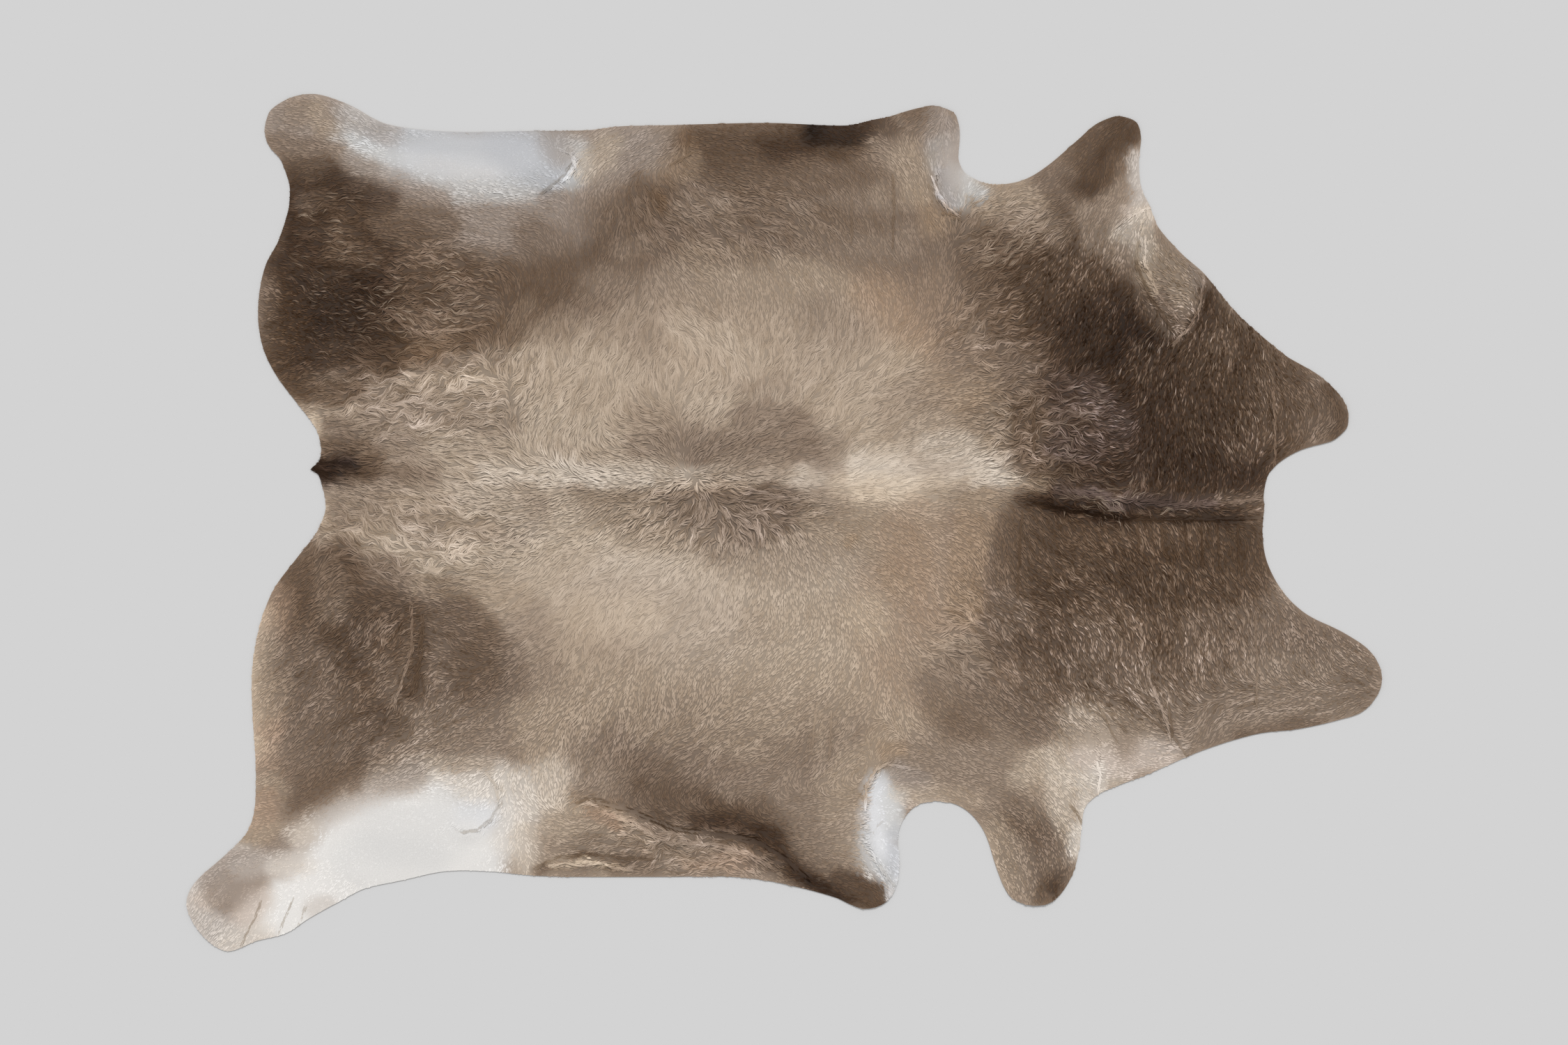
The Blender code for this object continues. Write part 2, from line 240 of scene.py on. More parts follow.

# The coat is painted stroke by stroke, each soft-edged and laid over the ones before it. Thin strokes along
# some creases and ridges are painted shade and painted highlight.
# Columns: colour, share, half width that is full, fade beyond it, path
BACK = (
    ("sand", 0.9, 70, 90, ((680, 560), (820, 540), (1000, 520), (1180, 500), (1280, 560))),
    ("pale sand", 0.7, 30, 80, ((700, 580), (840, 560), (1000, 530))),
    ("pale sand", 0.8, 60, 110, ((620, 780), (760, 800), (900, 850), (1060, 880), (1180, 900))),
    ("sand", 0.6, 40, 80, ((900, 430), (1050, 440), (1180, 440))),
    ("sand", 0.8, 60, 80, ((860, 970), (1050, 980), (1200, 970))),
    ("honey", 0.7, 40, 80, ((1300, 420), (1350, 540), (1350, 660))),
    ("sand", 0.7, 40, 80, ((1350, 740), (1360, 840), (1320, 960))),
    ("cream", 0.8, 18, 40, ((1180, 684), (1300, 672), (1400, 680))),
    ("taupe", 0.6, 10, 34, ((930, 606), (1000, 618), (1060, 622))),
    ("taupe", 0.5, 12, 30, ((920, 648), (1000, 652), (1090, 650))),
    ("taupe", 0.8, 18, 40, ((990, 712), (1060, 730), (1110, 724))),
    ("dun", 0.6, 16, 40, ((860, 720), (960, 735), (1040, 770))),
    ("pale sand", 0.6, 40, 70, ((1170, 520), (1240, 540), (1280, 580))),
    ("pale sand", 0.5, 30, 60, ((600, 590), (680, 610), (760, 640))),
    ("pale sand", 0.6, 24, 60, ((600, 740), (680, 750), (760, 760))),
    ("pale sand", 0.5, 40, 80, ((1000, 930), (1100, 960), (1180, 990))),
    ("cream", 0.5, 30, 70, ((900, 840), (960, 870), (1000, 890))),
    ("taupe", 0.7, 16, 34, ((1080, 612), (1130, 622), (1165, 632))),
    ("taupe", 0.6, 14, 34, ((1100, 716), (1160, 726), (1200, 730))),
    ("cream", 0.6, 8, 22, ((780, 670), (860, 680), (930, 682))),
    ("cream", 0.7, 14, 30, ((1200, 690), (1330, 690), (1450, 690))),
    ("rose dun", 0.5, 30, 50, ((1280, 430), (1340, 450), (1370, 480))),
    ("rose dun", 0.4, 30, 50, ((1280, 850), (1290, 960), (1270, 1020))),
    ("honey", 0.5, 20, 40, ((1240, 740), (1290, 770), (1300, 820))),
    ("rust", 0.5, 5, 12, ((1222, 776),)),
    ("sand", 0.5, 20, 50, ((920, 470), (1000, 470))),
    ("dun", 0.5, 14, 40, ((1090, 560), (1120, 590))),
    ("honey", 0.5, 14, 30, ((1340, 560), (1350, 600))),
    ("taupe", 0.5, 26, 44, ((1340, 400), (1370, 440), (1400, 500))),
    ("dun", 0.5, 14, 34, ((1180, 450), (1220, 480))),
    ("cream", 0.7, 5, 14, ((990, 682), (1060, 684), (1140, 682))),
    ("pale sand", 0.5, 10, 26, ((1230, 720), (1320, 722), (1390, 722))),
    ("sand", 0.7, 24, 44, ((900, 1010), (1000, 1020), (1100, 1020))),
    ("sand", 0.6, 20, 40, ((1160, 1000), (1230, 1010), (1280, 1030))),
    ("tan", 0.4, 24, 50, ((1000, 500), (1090, 500))),
    ("pale sand", 0.6, 10, 24, ((1300, 610), (1380, 612), (1440, 610))),
    ("taupe", 0.5, 8, 20, ((1190, 640), (1196, 700))),
    ("sand", 0.5, 30, 60, ((740, 560), (840, 600), (920, 600))),
    ("dun", 0.35, 30, 60, ((760, 440), (840, 450), (900, 440))),
    ("dun", 0.3, 40, 70, ((930, 440), (1040, 460), (1130, 460))),
    ("dun", 0.25, 40, 60, ((960, 500), (1100, 520), (1200, 500))),
    ("pale sand", 0.4, 16, 34, ((640, 556), (700, 572), (740, 600))),
    ("pale sand", 0.5, 10, 24, ((700, 610), (800, 616), (860, 616))),
    ("pale sand", 0.5, 12, 26, ((1000, 596), (1060, 596), (1110, 590))),
    ("cream", 0.8, 6, 16, ((780, 682), (880, 684), (960, 684), (1010, 684))),
    ("pale sand", 0.5, 14, 26, ((840, 640), (900, 650), (960, 655))),
    ("dun", 0.5, 8, 18, ((960, 632), (1010, 634))),
    ("sand", 0.4, 10, 22, ((1040, 676), (1110, 676))),
    ("pale sand", 0.6, 12, 26, ((660, 720), (740, 724), (800, 726))),
    ("pale sand", 0.6, 14, 28, ((720, 756), (760, 762), (860, 762))),
    ("sand", 0.6, 14, 26, ((860, 726), (920, 722))),
    ("sand", 0.6, 12, 26, ((900, 760), (960, 768))),
    ("dun", 0.35, 40, 60, ((880, 880), (980, 900), (1040, 930))),
    ("dun", 0.35, 20, 40, ((1060, 790), (1110, 796), (1140, 800))),
    ("dun", 0.4, 10, 24, ((1040, 740), (1090, 752))),
    ("sand", 0.7, 20, 34, ((1180, 745), (1220, 752), (1250, 764))),
    ("sand", 0.4, 16, 34, ((1120, 980), (1180, 985), (1220, 980))),
    ("sand", 0.5, 20, 36, ((1240, 880), (1250, 900))),
    ("sand", 0.5, 20, 36, ((1180, 1020), (1240, 1040), (1240, 1070))),
    ("dun", 0.4, 24, 40, ((1290, 590), (1330, 600), (1340, 650))),
    ("dun", 0.4, 20, 36, ((1320, 560), (1360, 540))),
    ("dun", 0.4, 20, 36, ((1120, 640), (1080, 640))),
    ("pale sand", 0.5, 8, 20, ((1190, 620), (1200, 650))),
    ("tan", 0.5, 10, 20, ((1200, 700), (1300, 704), (1400, 704))),
    ("sand", 0.6, 12, 24, ((1340, 716), (1400, 716))),
    ("sand", 0.3, 16, 30, ((1200, 590), (1160, 596))),
    ("pale sand", 0.4, 12, 28, ((715, 602), (765, 606), (800, 596))),
    ("pale sand", 0.5, 12, 28, ((985, 478), (1040, 490), (1080, 522))),
    ("taupe", 0.6, 8, 20, ((1060, 598), (1100, 596), (1142, 604))),
    ("taupe", 0.5, 8, 20, ((915, 640), (965, 642), (1010, 654))),
    ("taupe", 0.4, 8, 22, ((1140, 640), (1165, 660), (1200, 644))),
    ("taupe", 0.5, 10, 22, ((1045, 752), (1080, 764), (1108, 758))),
    ("dun", 0.4, 8, 18, ((1150, 720), (1206, 722))),
    ("cream", 0.6, 10, 22, ((1330, 640), (1360, 642), (1384, 640))),
    ("pale sand", 0.7, 10, 20, ((1345, 716), (1395, 716), (1432, 722))),
    ("tan", 0.4, 14, 30, ((1240, 880), (1246, 890))),
    ("sand", 0.4, 14, 30, ((1318, 958), (1332, 966))),
    ("pale sand", 0.4, 20, 40, ((1080, 960), (1090, 1000), (1160, 1000))),
    ("cream", 0.4, 8, 24, ((668, 718), (720, 720))),
)
UPPER_FLANK_SIDE = (
    ("taupe", 0.9, 40, 60, ((960, 300), (1050, 300), (1200, 310), (1300, 330))),
    ("taupe", 0.9, 40, 60, ((740, 380), (830, 390), (880, 350))),
    ("taupe", 0.7, 10, 30, ((920, 250), (950, 300), (940, 350))),
    ("dun", 0.6, 16, 30, ((1000, 375), (1100, 380))),
    ("brown", 0.9, 16, 30, ((1010, 208), (1100, 205), (1180, 205))),
    ("umber", 0.9, 8, 24, ((1100, 205), (1160, 200), (1200, 215), (1250, 200))),
    ("black", 1.0, 10, 16, ((1165, 190), (1215, 188))),
    ("black brown", 0.8, 5, 12, ((1240, 185), (1272, 178))),
    ("bronze", 0.7, 10, 24, ((960, 235), (990, 215))),
    ("brown", 0.5, 8, 20, ((1000, 245), (1080, 248), (1150, 246))),
    ("rust", 0.8, 8, 20, ((940, 292),)),
    ("umber", 0.5, 18, 30, ((990, 215), (1040, 222), (1120, 222))),
    ("dark umber", 0.6, 8, 18, ((1110, 225), (1160, 214))),
    ("bronze", 0.6, 8, 22, ((985, 205), (982, 235), (965, 250))),
    ("umber", 0.5, 6, 18, ((960, 312), (1010, 318), (1070, 312))),
    ("brown", 0.6, 10, 26, ((1150, 330), (1200, 330))),
    ("taupe", 0.6, 16, 30, ((790, 300), (850, 310), (900, 300))),
    ("brown", 0.5, 14, 30, ((930, 275), (920, 330))),
    ("sand", 0.6, 14, 30, ((1000, 372), (1080, 392), (1160, 400))),
    ("dun", 0.6, 16, 40, ((1060, 285), (1160, 280), (1240, 300))),
    ("brown", 0.5, 20, 40, ((780, 400), (860, 400), (900, 380))),
    ("dun", 0.6, 10, 30, ((850, 408), (910, 416), (970, 400))),
    ("ash", 0.6, 14, 30, ((850, 205), (900, 200))),
    ("brown", 0.5, 16, 30, ((1050, 245), (1120, 262), (1200, 250), (1270, 230))),
    ("brown", 0.4, 14, 30, ((1060, 290), (1100, 300))),
    ("taupe", 0.6, 20, 34, ((780, 330), (830, 345))),
    ("dun", 0.6, 8, 20, ((970, 305), (1030, 300))),
    ("dun", 0.6, 14, 30, ((1170, 335), (1240, 345), (1290, 350))),
    ("sand", 0.4, 10, 24, ((990, 238), (940, 246))),
    ("taupe", 0.5, 14, 30, ((900, 300), (930, 310), (900, 325))),
    ("taupe", 0.5, 16, 30, ((870, 340), (820, 352))),
    ("brown", 0.4, 8, 18, ((1180, 312), (1230, 320), (1260, 324))),
    ("sand", 0.5, 10, 22, ((1270, 280), (1310, 282))),
    ("dun", 0.5, 8, 18, ((900, 358), (940, 350))),
    ("dun", 0.4, 8, 18, ((1000, 322), (1050, 325))),
    ("umber", 0.6, 4, 12, ((1120, 190), (1150, 186))),
    ("black", 0.8, 6, 12, ((1200, 194), (1236, 196))),
    ("dark umber", 0.7, 5, 12, ((1262, 178), (1290, 186), (1300, 200))),
    ("brown", 0.5, 6, 14, ((1040, 184), (1120, 186))),
    ("umber", 0.4, 8, 20, ((1205, 188), (1250, 182), (1290, 172))),
    ("cool grey", 0.5, 10, 18, ((1363, 196), (1361, 240), (1363, 282))),
    ("taupe", 0.3, 8, 18, ((1278, 280), (1280, 240))),
)
UPPER_RUMP_SIDE = (
    ("umber", 1.0, 60, 50, ((470, 330), (490, 430), (460, 480))),
    ("brown", 0.9, 30, 50, ((620, 400), (700, 410), (770, 400))),
    ("brown", 0.8, 26, 44, ((590, 360), (620, 430), (600, 480))),
    ("dark umber", 0.9, 22, 34, ((444, 280), (434, 340), (424, 380))),
    ("black brown", 1.0, 20, 40, ((440, 425), (490, 425), (530, 435))),
    ("black brown", 0.5, 16, 34, ((450, 490), (520, 500))),
    ("bistre", 0.8, 16, 30, ((420, 440), (410, 490), (424, 520))),
    ("dark umber", 0.8, 14, 34, ((556, 340), (566, 380), (540, 400))),
    ("brown", 0.7, 8, 22, ((384, 400), (378, 450), (386, 500))),
    ("umber", 0.6, 12, 30, ((600, 420), (680, 420))),
    ("dark umber", 0.9, 16, 26, ((440, 250), (500, 262), (560, 285))),
    ("umber", 0.9, 20, 26, ((520, 300), (570, 310), (590, 330))),
    ("dark umber", 0.9, 12, 22, ((426, 300), (418, 350), (400, 392))),
    ("brown", 0.6, 10, 20, ((496, 358), (532, 372))),
    ("brown", 0.3, 10, 20, ((430, 385), (500, 395))),
    ("brown", 0.8, 14, 24, ((520, 270), (560, 290), (600, 312))),
    ("brown", 0.8, 10, 20, ((596, 330), (610, 345))),
    ("dun", 0.7, 14, 26, ((630, 300), (680, 322), (710, 335))),
    ("taupe", 0.7, 20, 34, ((640, 352), (720, 366), (800, 345), (850, 330))),
    ("brown", 0.8, 14, 26, ((700, 385), (760, 375), (800, 360))),
    ("brown", 0.6, 22, 34, ((600, 395), (680, 400), (740, 420))),
    ("brown", 0.7, 16, 30, ((700, 470), (730, 450), (750, 425))),
    ("umber", 0.8, 14, 26, ((560, 470), (586, 496), (540, 530))),
    ("bronze", 0.8, 14, 28, ((610, 510), (660, 500), (710, 484))),
    ("umber", 0.8, 18, 30, ((470, 530), (520, 520), (550, 505))),
    ("umber", 0.7, 14, 26, ((440, 535), (470, 550), (520, 550))),
    ("brown", 0.7, 8, 18, ((394, 500), (412, 540), (436, 572))),
    ("taupe", 0.7, 10, 20, ((380, 420), (376, 460))),
    ("dun", 0.8, 14, 28, ((560, 570), (620, 545), (700, 520))),
    ("brown", 0.7, 12, 24, ((510, 262), (560, 290), (610, 310))),
    ("brown", 0.5, 8, 18, ((550, 450), (590, 470))),
    ("taupe", 0.6, 8, 18, ((440, 290), (470, 285))),
    ("sand", 0.7, 12, 26, ((570, 575), (640, 560), (720, 552))),
    ("taupe", 0.5, 8, 18, ((385, 400), (374, 440), (378, 480))),
    ("brown", 0.4, 14, 30, ((470, 420), (520, 470), (500, 500))),
    ("sand", 0.5, 5, 14, ((760, 440), (730, 480), (690, 510))),
    ("taupe", 0.6, 12, 26, ((560, 320), (600, 330), (640, 330))),
    ("taupe", 0.6, 16, 34, ((660, 330), (740, 340), (800, 340))),
    ("brown", 0.5, 14, 30, ((760, 360), (810, 366), (850, 356))),
    ("umber", 0.4, 16, 30, ((470, 430), (520, 440), (560, 450))),
    ("brown", 0.4, 6, 14, ((400, 300), (404, 330), (396, 360))),
    ("brown", 0.3, 12, 24, ((450, 320), (480, 326))),
    ("taupe", 0.4, 10, 20, ((650, 430), (700, 440))),
    ("brown", 0.5, 12, 26, ((690, 482), (730, 470), (760, 440))),
    ("dark umber", 0.5, 10, 24, ((430, 515), (470, 525), (500, 530))),
    ("umber", 0.4, 14, 32, ((745, 350), (800, 356), (835, 346))),
    ("black brown", 0.4, 22, 34, ((478, 440), (520, 438), (520, 474))),
    ("taupe", 0.4, 8, 20, ((508, 236), (534, 246))),
    ("bistre", 0.4, 10, 22, ((472, 280), (478, 246))),
    ("tan", 0.25, 12, 28, ((560, 562), (630, 558), (690, 556))),
)
UPPER_BELLY_SIDE = (
    ("ash", 0.9, 24, 50, ((490, 210), (560, 245), (640, 285), (720, 320), (800, 320))),
    ("ash", 0.8, 18, 40, ((840, 240), (880, 225), (920, 215))),
    ("silver", 1.0, 26, 28, ((500, 185), (580, 212), (660, 230), (740, 235), (810, 235))),
    ("cool grey", 0.5, 14, 28, ((735, 215), (770, 235), (790, 250))),
    ("cool white", 0.4, 10, 22, ((600, 232), (660, 246), (700, 254))),
    ("ash", 1.0, 30, 34, ((430, 170), (450, 160))),
    ("dun", 0.6, 8, 30, ((395, 215), (450, 230), (470, 215))),
    ("dun", 0.8, 12, 22, ((400, 160), (430, 160))),
    ("sand", 0.7, 10, 20, ((460, 158), (470, 180))),
    ("taupe", 0.7, 10, 18, ((400, 208), (450, 215), (480, 222))),
    ("umber", 0.6, 10, 20, ((416, 244), (450, 248), (490, 252))),
    ("dun", 0.6, 8, 16, ((490, 220), (516, 234))),
    ("taupe", 0.5, 10, 24, ((540, 255), (600, 275), (640, 290))),
    ("ivory", 0.4, 10, 20, ((620, 245), (660, 258), (700, 262))),
    ("silver", 0.7, 8, 18, ((500, 160), (530, 180), (560, 195))),
    ("pale sand", 0.7, 12, 20, ((846, 240), (866, 226), (872, 210))),
    # Painted highlight on the upper udder's rim
    ("cool white", 0.5, 2, 8, ((824, 225), (822, 245), (804, 264))),
    # Painted shade in the upper udder crease
    ("cool grey", 0.6, 3, 8, ((812, 238), (802, 258), (778, 276))),
    ("ash", 0.6, 8, 20, ((510, 238), (560, 258), (620, 278), (700, 290), (760, 286))),
    ("silver", 0.5, 8, 18, ((640, 260), (700, 270), (760, 268))),
    ("dark umber", 0.7, 10, 22, ((480, 262), (520, 276), (556, 292))),
    ("ash", 0.7, 6, 16, ((620, 290), (680, 300), (740, 298), (800, 284))),
    ("cool grey", 0.5, 10, 18, ((540, 192), (610, 204), (700, 202), (800, 200))),
    ("ash", 0.5, 10, 20, ((490, 160), (520, 176), (560, 192))),
    ("ash", 0.6, 8, 16, ((396, 150), (392, 178))),
    ("silver", 0.5, 10, 22, ((520, 225), (570, 240), (620, 250))),
    ("ash", 0.4, 3, 9, ((500, 222), (560, 250), (620, 274))),
    ("cool grey", 0.35, 24, 40, ((600, 215), (700, 225), (770, 225))),
    ("cool grey", 0.5, 14, 28, ((716, 208), (752, 220), (772, 244))),
    ("silver", 0.5, 5, 14, ((660, 280), (712, 284), (764, 280))),
    ("taupe", 0.4, 12, 28, ((800, 206), (804, 214))),
    ("taupe", 0.4, 10, 26, ((835, 318), (885, 316), (922, 284))),
    ("brown", 0.3, 10, 28, ((955, 356), (1010, 360), (1085, 360))),
)
TAIL_END = (
    ("dun", 0.8, 30, 40, ((490, 580), (600, 600), (700, 610))),
    ("dun", 0.8, 30, 40, ((480, 700), (600, 710), (740, 730))),
    ("sand", 0.7, 10, 30, ((440, 585), (500, 592))),
    ("cream", 0.6, 6, 16, ((452, 612),)),
    ("sand", 0.8, 4, 16, ((520, 655), (620, 664), (700, 668))),
    ("umber", 0.8, 8, 22, ((500, 668), (540, 672))),
    ("char", 1.0, 12, 24, ((462, 672), (496, 672))),
    ("sand", 0.8, 14, 36, ((480, 745), (520, 760))),
    ("pale sand", 0.6, 14, 30, ((620, 640), (700, 650), (760, 660))),
    ("brown", 0.7, 8, 18, ((470, 640), (520, 645), (540, 655))),
    ("pale sand", 0.6, 10, 24, ((620, 690), (700, 694), (780, 690))),
    ("black brown", 0.8, 7, 14, ((462, 668), (478, 680))),
    ("umber", 0.6, 6, 14, ((500, 690), (530, 684))),
    ("tan", 0.7, 5, 12, ((468, 728), (474, 740))),
    ("taupe", 0.6, 14, 26, ((500, 735), (540, 720))),
    ("brown", 0.8, 8, 18, ((440, 560), (480, 564), (512, 560))),
    ("dun", 0.5, 8, 18, ((470, 600), (520, 610))),
    ("taupe", 0.6, 8, 20, ((470, 620), (500, 622))),
    ("sand", 0.7, 14, 28, ((520, 728), (620, 730), (740, 738))),
    ("dun", 0.6, 8, 18, ((570, 668), (620, 666))),
    ("sand", 0.4, 6, 14, ((462, 640), (470, 630))),
    ("dun", 0.6, 8, 18, ((560, 684), (620, 688))),
    ("dun", 0.6, 8, 18, ((555, 640), (600, 640))),
    ("dun", 0.6, 12, 24, ((500, 716), (540, 724))),
    ("dun", 0.5, 12, 24, ((590, 752), (620, 770))),
    ("brown", 0.6, 6, 14, ((466, 632), (480, 640))),
    ("tan", 0.7, 4, 12, ((456, 618), (452, 606))),
)
LOWER_RUMP_SIDE = (
    ("taupe", 0.9, 90, 60, ((510, 920), (560, 970), (510, 1040))),
    ("brown", 1.0, 70, 50, ((480, 900), (520, 960), (490, 1050))),
    ("taupe", 0.8, 30, 50, ((620, 1040), (720, 1020))),
    ("umber", 0.8, 18, 40, ((500, 900), (490, 950))),
    ("umber", 0.7, 14, 30, ((430, 840), (490, 806))),
    ("brown", 0.6, 14, 34, ((550, 1050), (500, 1090))),
    ("umber", 0.5, 10, 30, ((650, 880), (690, 920), (715, 960))),
    # Painted highlight along the thigh ridge
    ("dun", 0.5, 4, 14, ((600, 860), (595, 900), (583, 960), (562, 1005))),
    ("tan", 0.8, 8, 26, ((378, 890), (368, 940), (366, 1010), (370, 1070))),
    ("rose dun", 0.5, 8, 24, ((404, 850), (398, 900))),
    ("rose dun", 0.6, 10, 30, ((392, 1080), (392, 1110))),
    ("dun", 0.8, 14, 30, ((410, 960), (412, 1020), (420, 1070))),
    ("taupe", 0.7, 24, 40, ((440, 960), (450, 1060), (520, 1100))),
    ("dun", 0.6, 12, 30, ((470, 830), (480, 870))),
    ("taupe", 0.6, 16, 30, ((560, 830), (540, 880))),
    ("dark umber", 0.7, 8, 18, ((512, 900), (516, 940))),
    ("dark umber", 0.7, 6, 16, ((545, 1020), (540, 1060), (525, 1085))),
    ("taupe", 0.7, 12, 24, ((620, 852), (650, 872))),
    ("taupe", 0.6, 26, 40, ((630, 900), (660, 960), (640, 980))),
    ("dun", 0.7, 26, 40, ((600, 1060), (680, 1060), (740, 1050))),
    ("sand", 0.8, 20, 30, ((770, 1020), (780, 1070))),
    ("dun", 0.7, 20, 40, ((760, 900), (770, 960))),
    ("taupe", 0.7, 12, 26, ((720, 930), (740, 980))),
    ("brown", 0.7, 8, 18, ((440, 790), (420, 830))),
    ("sand", 0.7, 12, 24, ((700, 846), (740, 856))),
    # Painted shade in the thigh crease
    ("umber", 0.6, 6, 14, ((606, 880), (602, 940), (592, 990))),
    ("rose dun", 0.7, 12, 24, ((388, 980), (386, 1040))),
    ("brown", 0.6, 20, 34, ((650, 870), (690, 920), (680, 970))),
    ("brown", 0.5, 12, 24, ((450, 850), (480, 830))),
    ("tan", 0.6, 6, 16, ((368, 960), (366, 1030))),
    ("taupe", 0.6, 8, 18, ((508, 890), (520, 940))),
    ("taupe", 0.6, 8, 18, ((548, 1020), (540, 1065))),
    ("dun", 0.5, 10, 24, ((386, 920), (396, 960), (392, 1000))),
    ("taupe", 0.5, 12, 26, ((420, 960), (430, 1000), (470, 1040))),
    ("umber", 0.6, 12, 26, ((520, 870), (560, 870), (580, 880))),
    ("taupe", 0.5, 12, 26, ((625, 870), (660, 885))),
    ("taupe", 0.6, 8, 20, ((550, 960), (560, 1000))),
    ("umber", 0.5, 10, 22, ((548, 1030), (570, 1045))),
    ("dun", 0.6, 10, 24, ((540, 1085), (570, 1075), (600, 1070))),
    ("dun", 0.5, 12, 26, ((620, 1080), (680, 1080))),
    ("umber", 0.6, 12, 24, ((470, 1120), (440, 1150), (420, 1175))),
    ("brown", 0.6, 8, 20, ((400, 1120), (398, 1160), (412, 1190))),
    ("sand", 0.5, 5, 14, ((600, 842), (660, 850), (720, 856))),
    ("sand", 0.5, 12, 22, ((394, 946), (396, 1010))),
    ("taupe", 0.35, 22, 36, ((440, 956), (476, 1040), (440, 1120))),
    ("taupe", 0.35, 10, 24, ((520, 1120), (560, 1122), (596, 1116))),
    # Painted shade in the thigh crease
    ("brown", 0.4, 5, 14, ((596, 872), (598, 1000))),
    ("sand", 0.6, 8, 18, ((428, 1204), (446, 1188))),
)
LOWER_BELLY_SIDE = (
    ("sand", 0.9, 12, 26, ((390, 1130), (380, 1180), (340, 1230))),
    ("ash cream", 1.0, 30, 36, ((300, 1290), (320, 1330), (345, 1320))),
    ("ash", 0.5, 8, 22, ((352, 1270), (332, 1304))),
    ("dun", 0.5, 8, 20, ((320, 1240), (345, 1215))),
    ("white", 1.0, 34, 30, ((436, 1264), (520, 1206), (620, 1176), (690, 1166))),
    ("white", 1.0, 30, 26, ((410, 1310), (480, 1260), (600, 1225), (690, 1225))),
    ("cool white", 0.8, 20, 26, ((620, 1150), (680, 1146), (712, 1165))),
    ("ivory", 0.5, 10, 26, ((430, 1200), (520, 1170))),
    ("cream", 0.8, 14, 30, ((775, 1120), (775, 1160), (765, 1200))),
    ("ash cream", 0.6, 12, 24, ((740, 1236),)),
    ("brown", 0.8, 14, 24, ((510, 1116), (460, 1140), (436, 1166))),
    ("dun", 0.8, 8, 16, ((416, 1180), (400, 1160))),
    ("rose dun", 0.7, 10, 20, ((384, 1150), (382, 1190))),
    ("sand", 0.8, 12, 22, ((330, 1225), (370, 1208), (400, 1200))),
    ("ash cream", 0.9, 14, 22, ((310, 1245), (340, 1235), (370, 1245))),
    ("ash", 0.6, 6, 14, ((316, 1300), (336, 1306))),
    ("blush", 0.8, 8, 16, ((290, 1290), (304, 1280))),
    ("blush", 0.8, 12, 22, ((356, 1310), (370, 1290))),
    ("ivory", 0.9, 20, 26, ((560, 1135), (620, 1120), (700, 1118))),
    ("white", 0.9, 24, 24, ((450, 1220), (520, 1190), (620, 1160))),
    ("ivory", 0.8, 18, 26, ((740, 1130), (745, 1170), (735, 1200))),
    ("cream", 0.7, 14, 26, ((800, 1110), (800, 1140))),
    ("sand", 0.7, 10, 20, ((800, 1215), (840, 1195))),
    ("ash cream", 0.7, 10, 18, ((776, 1186), (762, 1210))),
    ("ash cream", 0.6, 8, 16, ((452, 1304), (470, 1300))),
    ("sand", 0.6, 5, 12, ((545, 1106), (600, 1096), (700, 1096))),
    ("ivory", 0.5, 8, 18, ((430, 1192), (500, 1150))),
    ("sand", 0.6, 10, 20, ((820, 1150), (810, 1180))),
    ("ash", 0.7, 8, 18, ((300, 1260), (310, 1240), (340, 1236))),
    ("taupe", 0.6, 8, 18, ((330, 1290), (346, 1270), (372, 1256))),
    ("taupe", 0.5, 8, 20, ((356, 1244), (384, 1232), (406, 1210))),
    ("ash", 0.6, 12, 20, ((398, 1244), (412, 1222), (440, 1196))),
    ("dun", 0.6, 10, 18, ((440, 1178), (470, 1158), (510, 1138))),
    ("ash cream", 0.7, 8, 16, ((438, 1200), (480, 1168), (540, 1142), (580, 1126))),
    ("taupe", 0.5, 8, 18, ((552, 1118), (600, 1104))),
    ("silver", 0.35, 30, 40, ((560, 1190), (620, 1200), (640, 1180))),
    ("silver", 0.35, 24, 34, ((520, 1236), (600, 1240))),
    ("ivory", 0.6, 8, 18, ((330, 1352), (350, 1350), (380, 1340))),
    ("cream", 0.5, 8, 18, ((800, 1150), (806, 1200))),
    ("sand", 0.5, 8, 16, ((760, 1240), (740, 1244))),
    ("ash", 0.8, 10, 22, ((342, 1248), (384, 1238))),
    ("ash cream", 0.7, 8, 16, ((396, 1246), (422, 1238))),
    ("dun", 0.5, 10, 20, ((312, 1284), (326, 1276))),
    ("cream", 0.6, 8, 18, ((752, 1196), (760, 1240))),
)
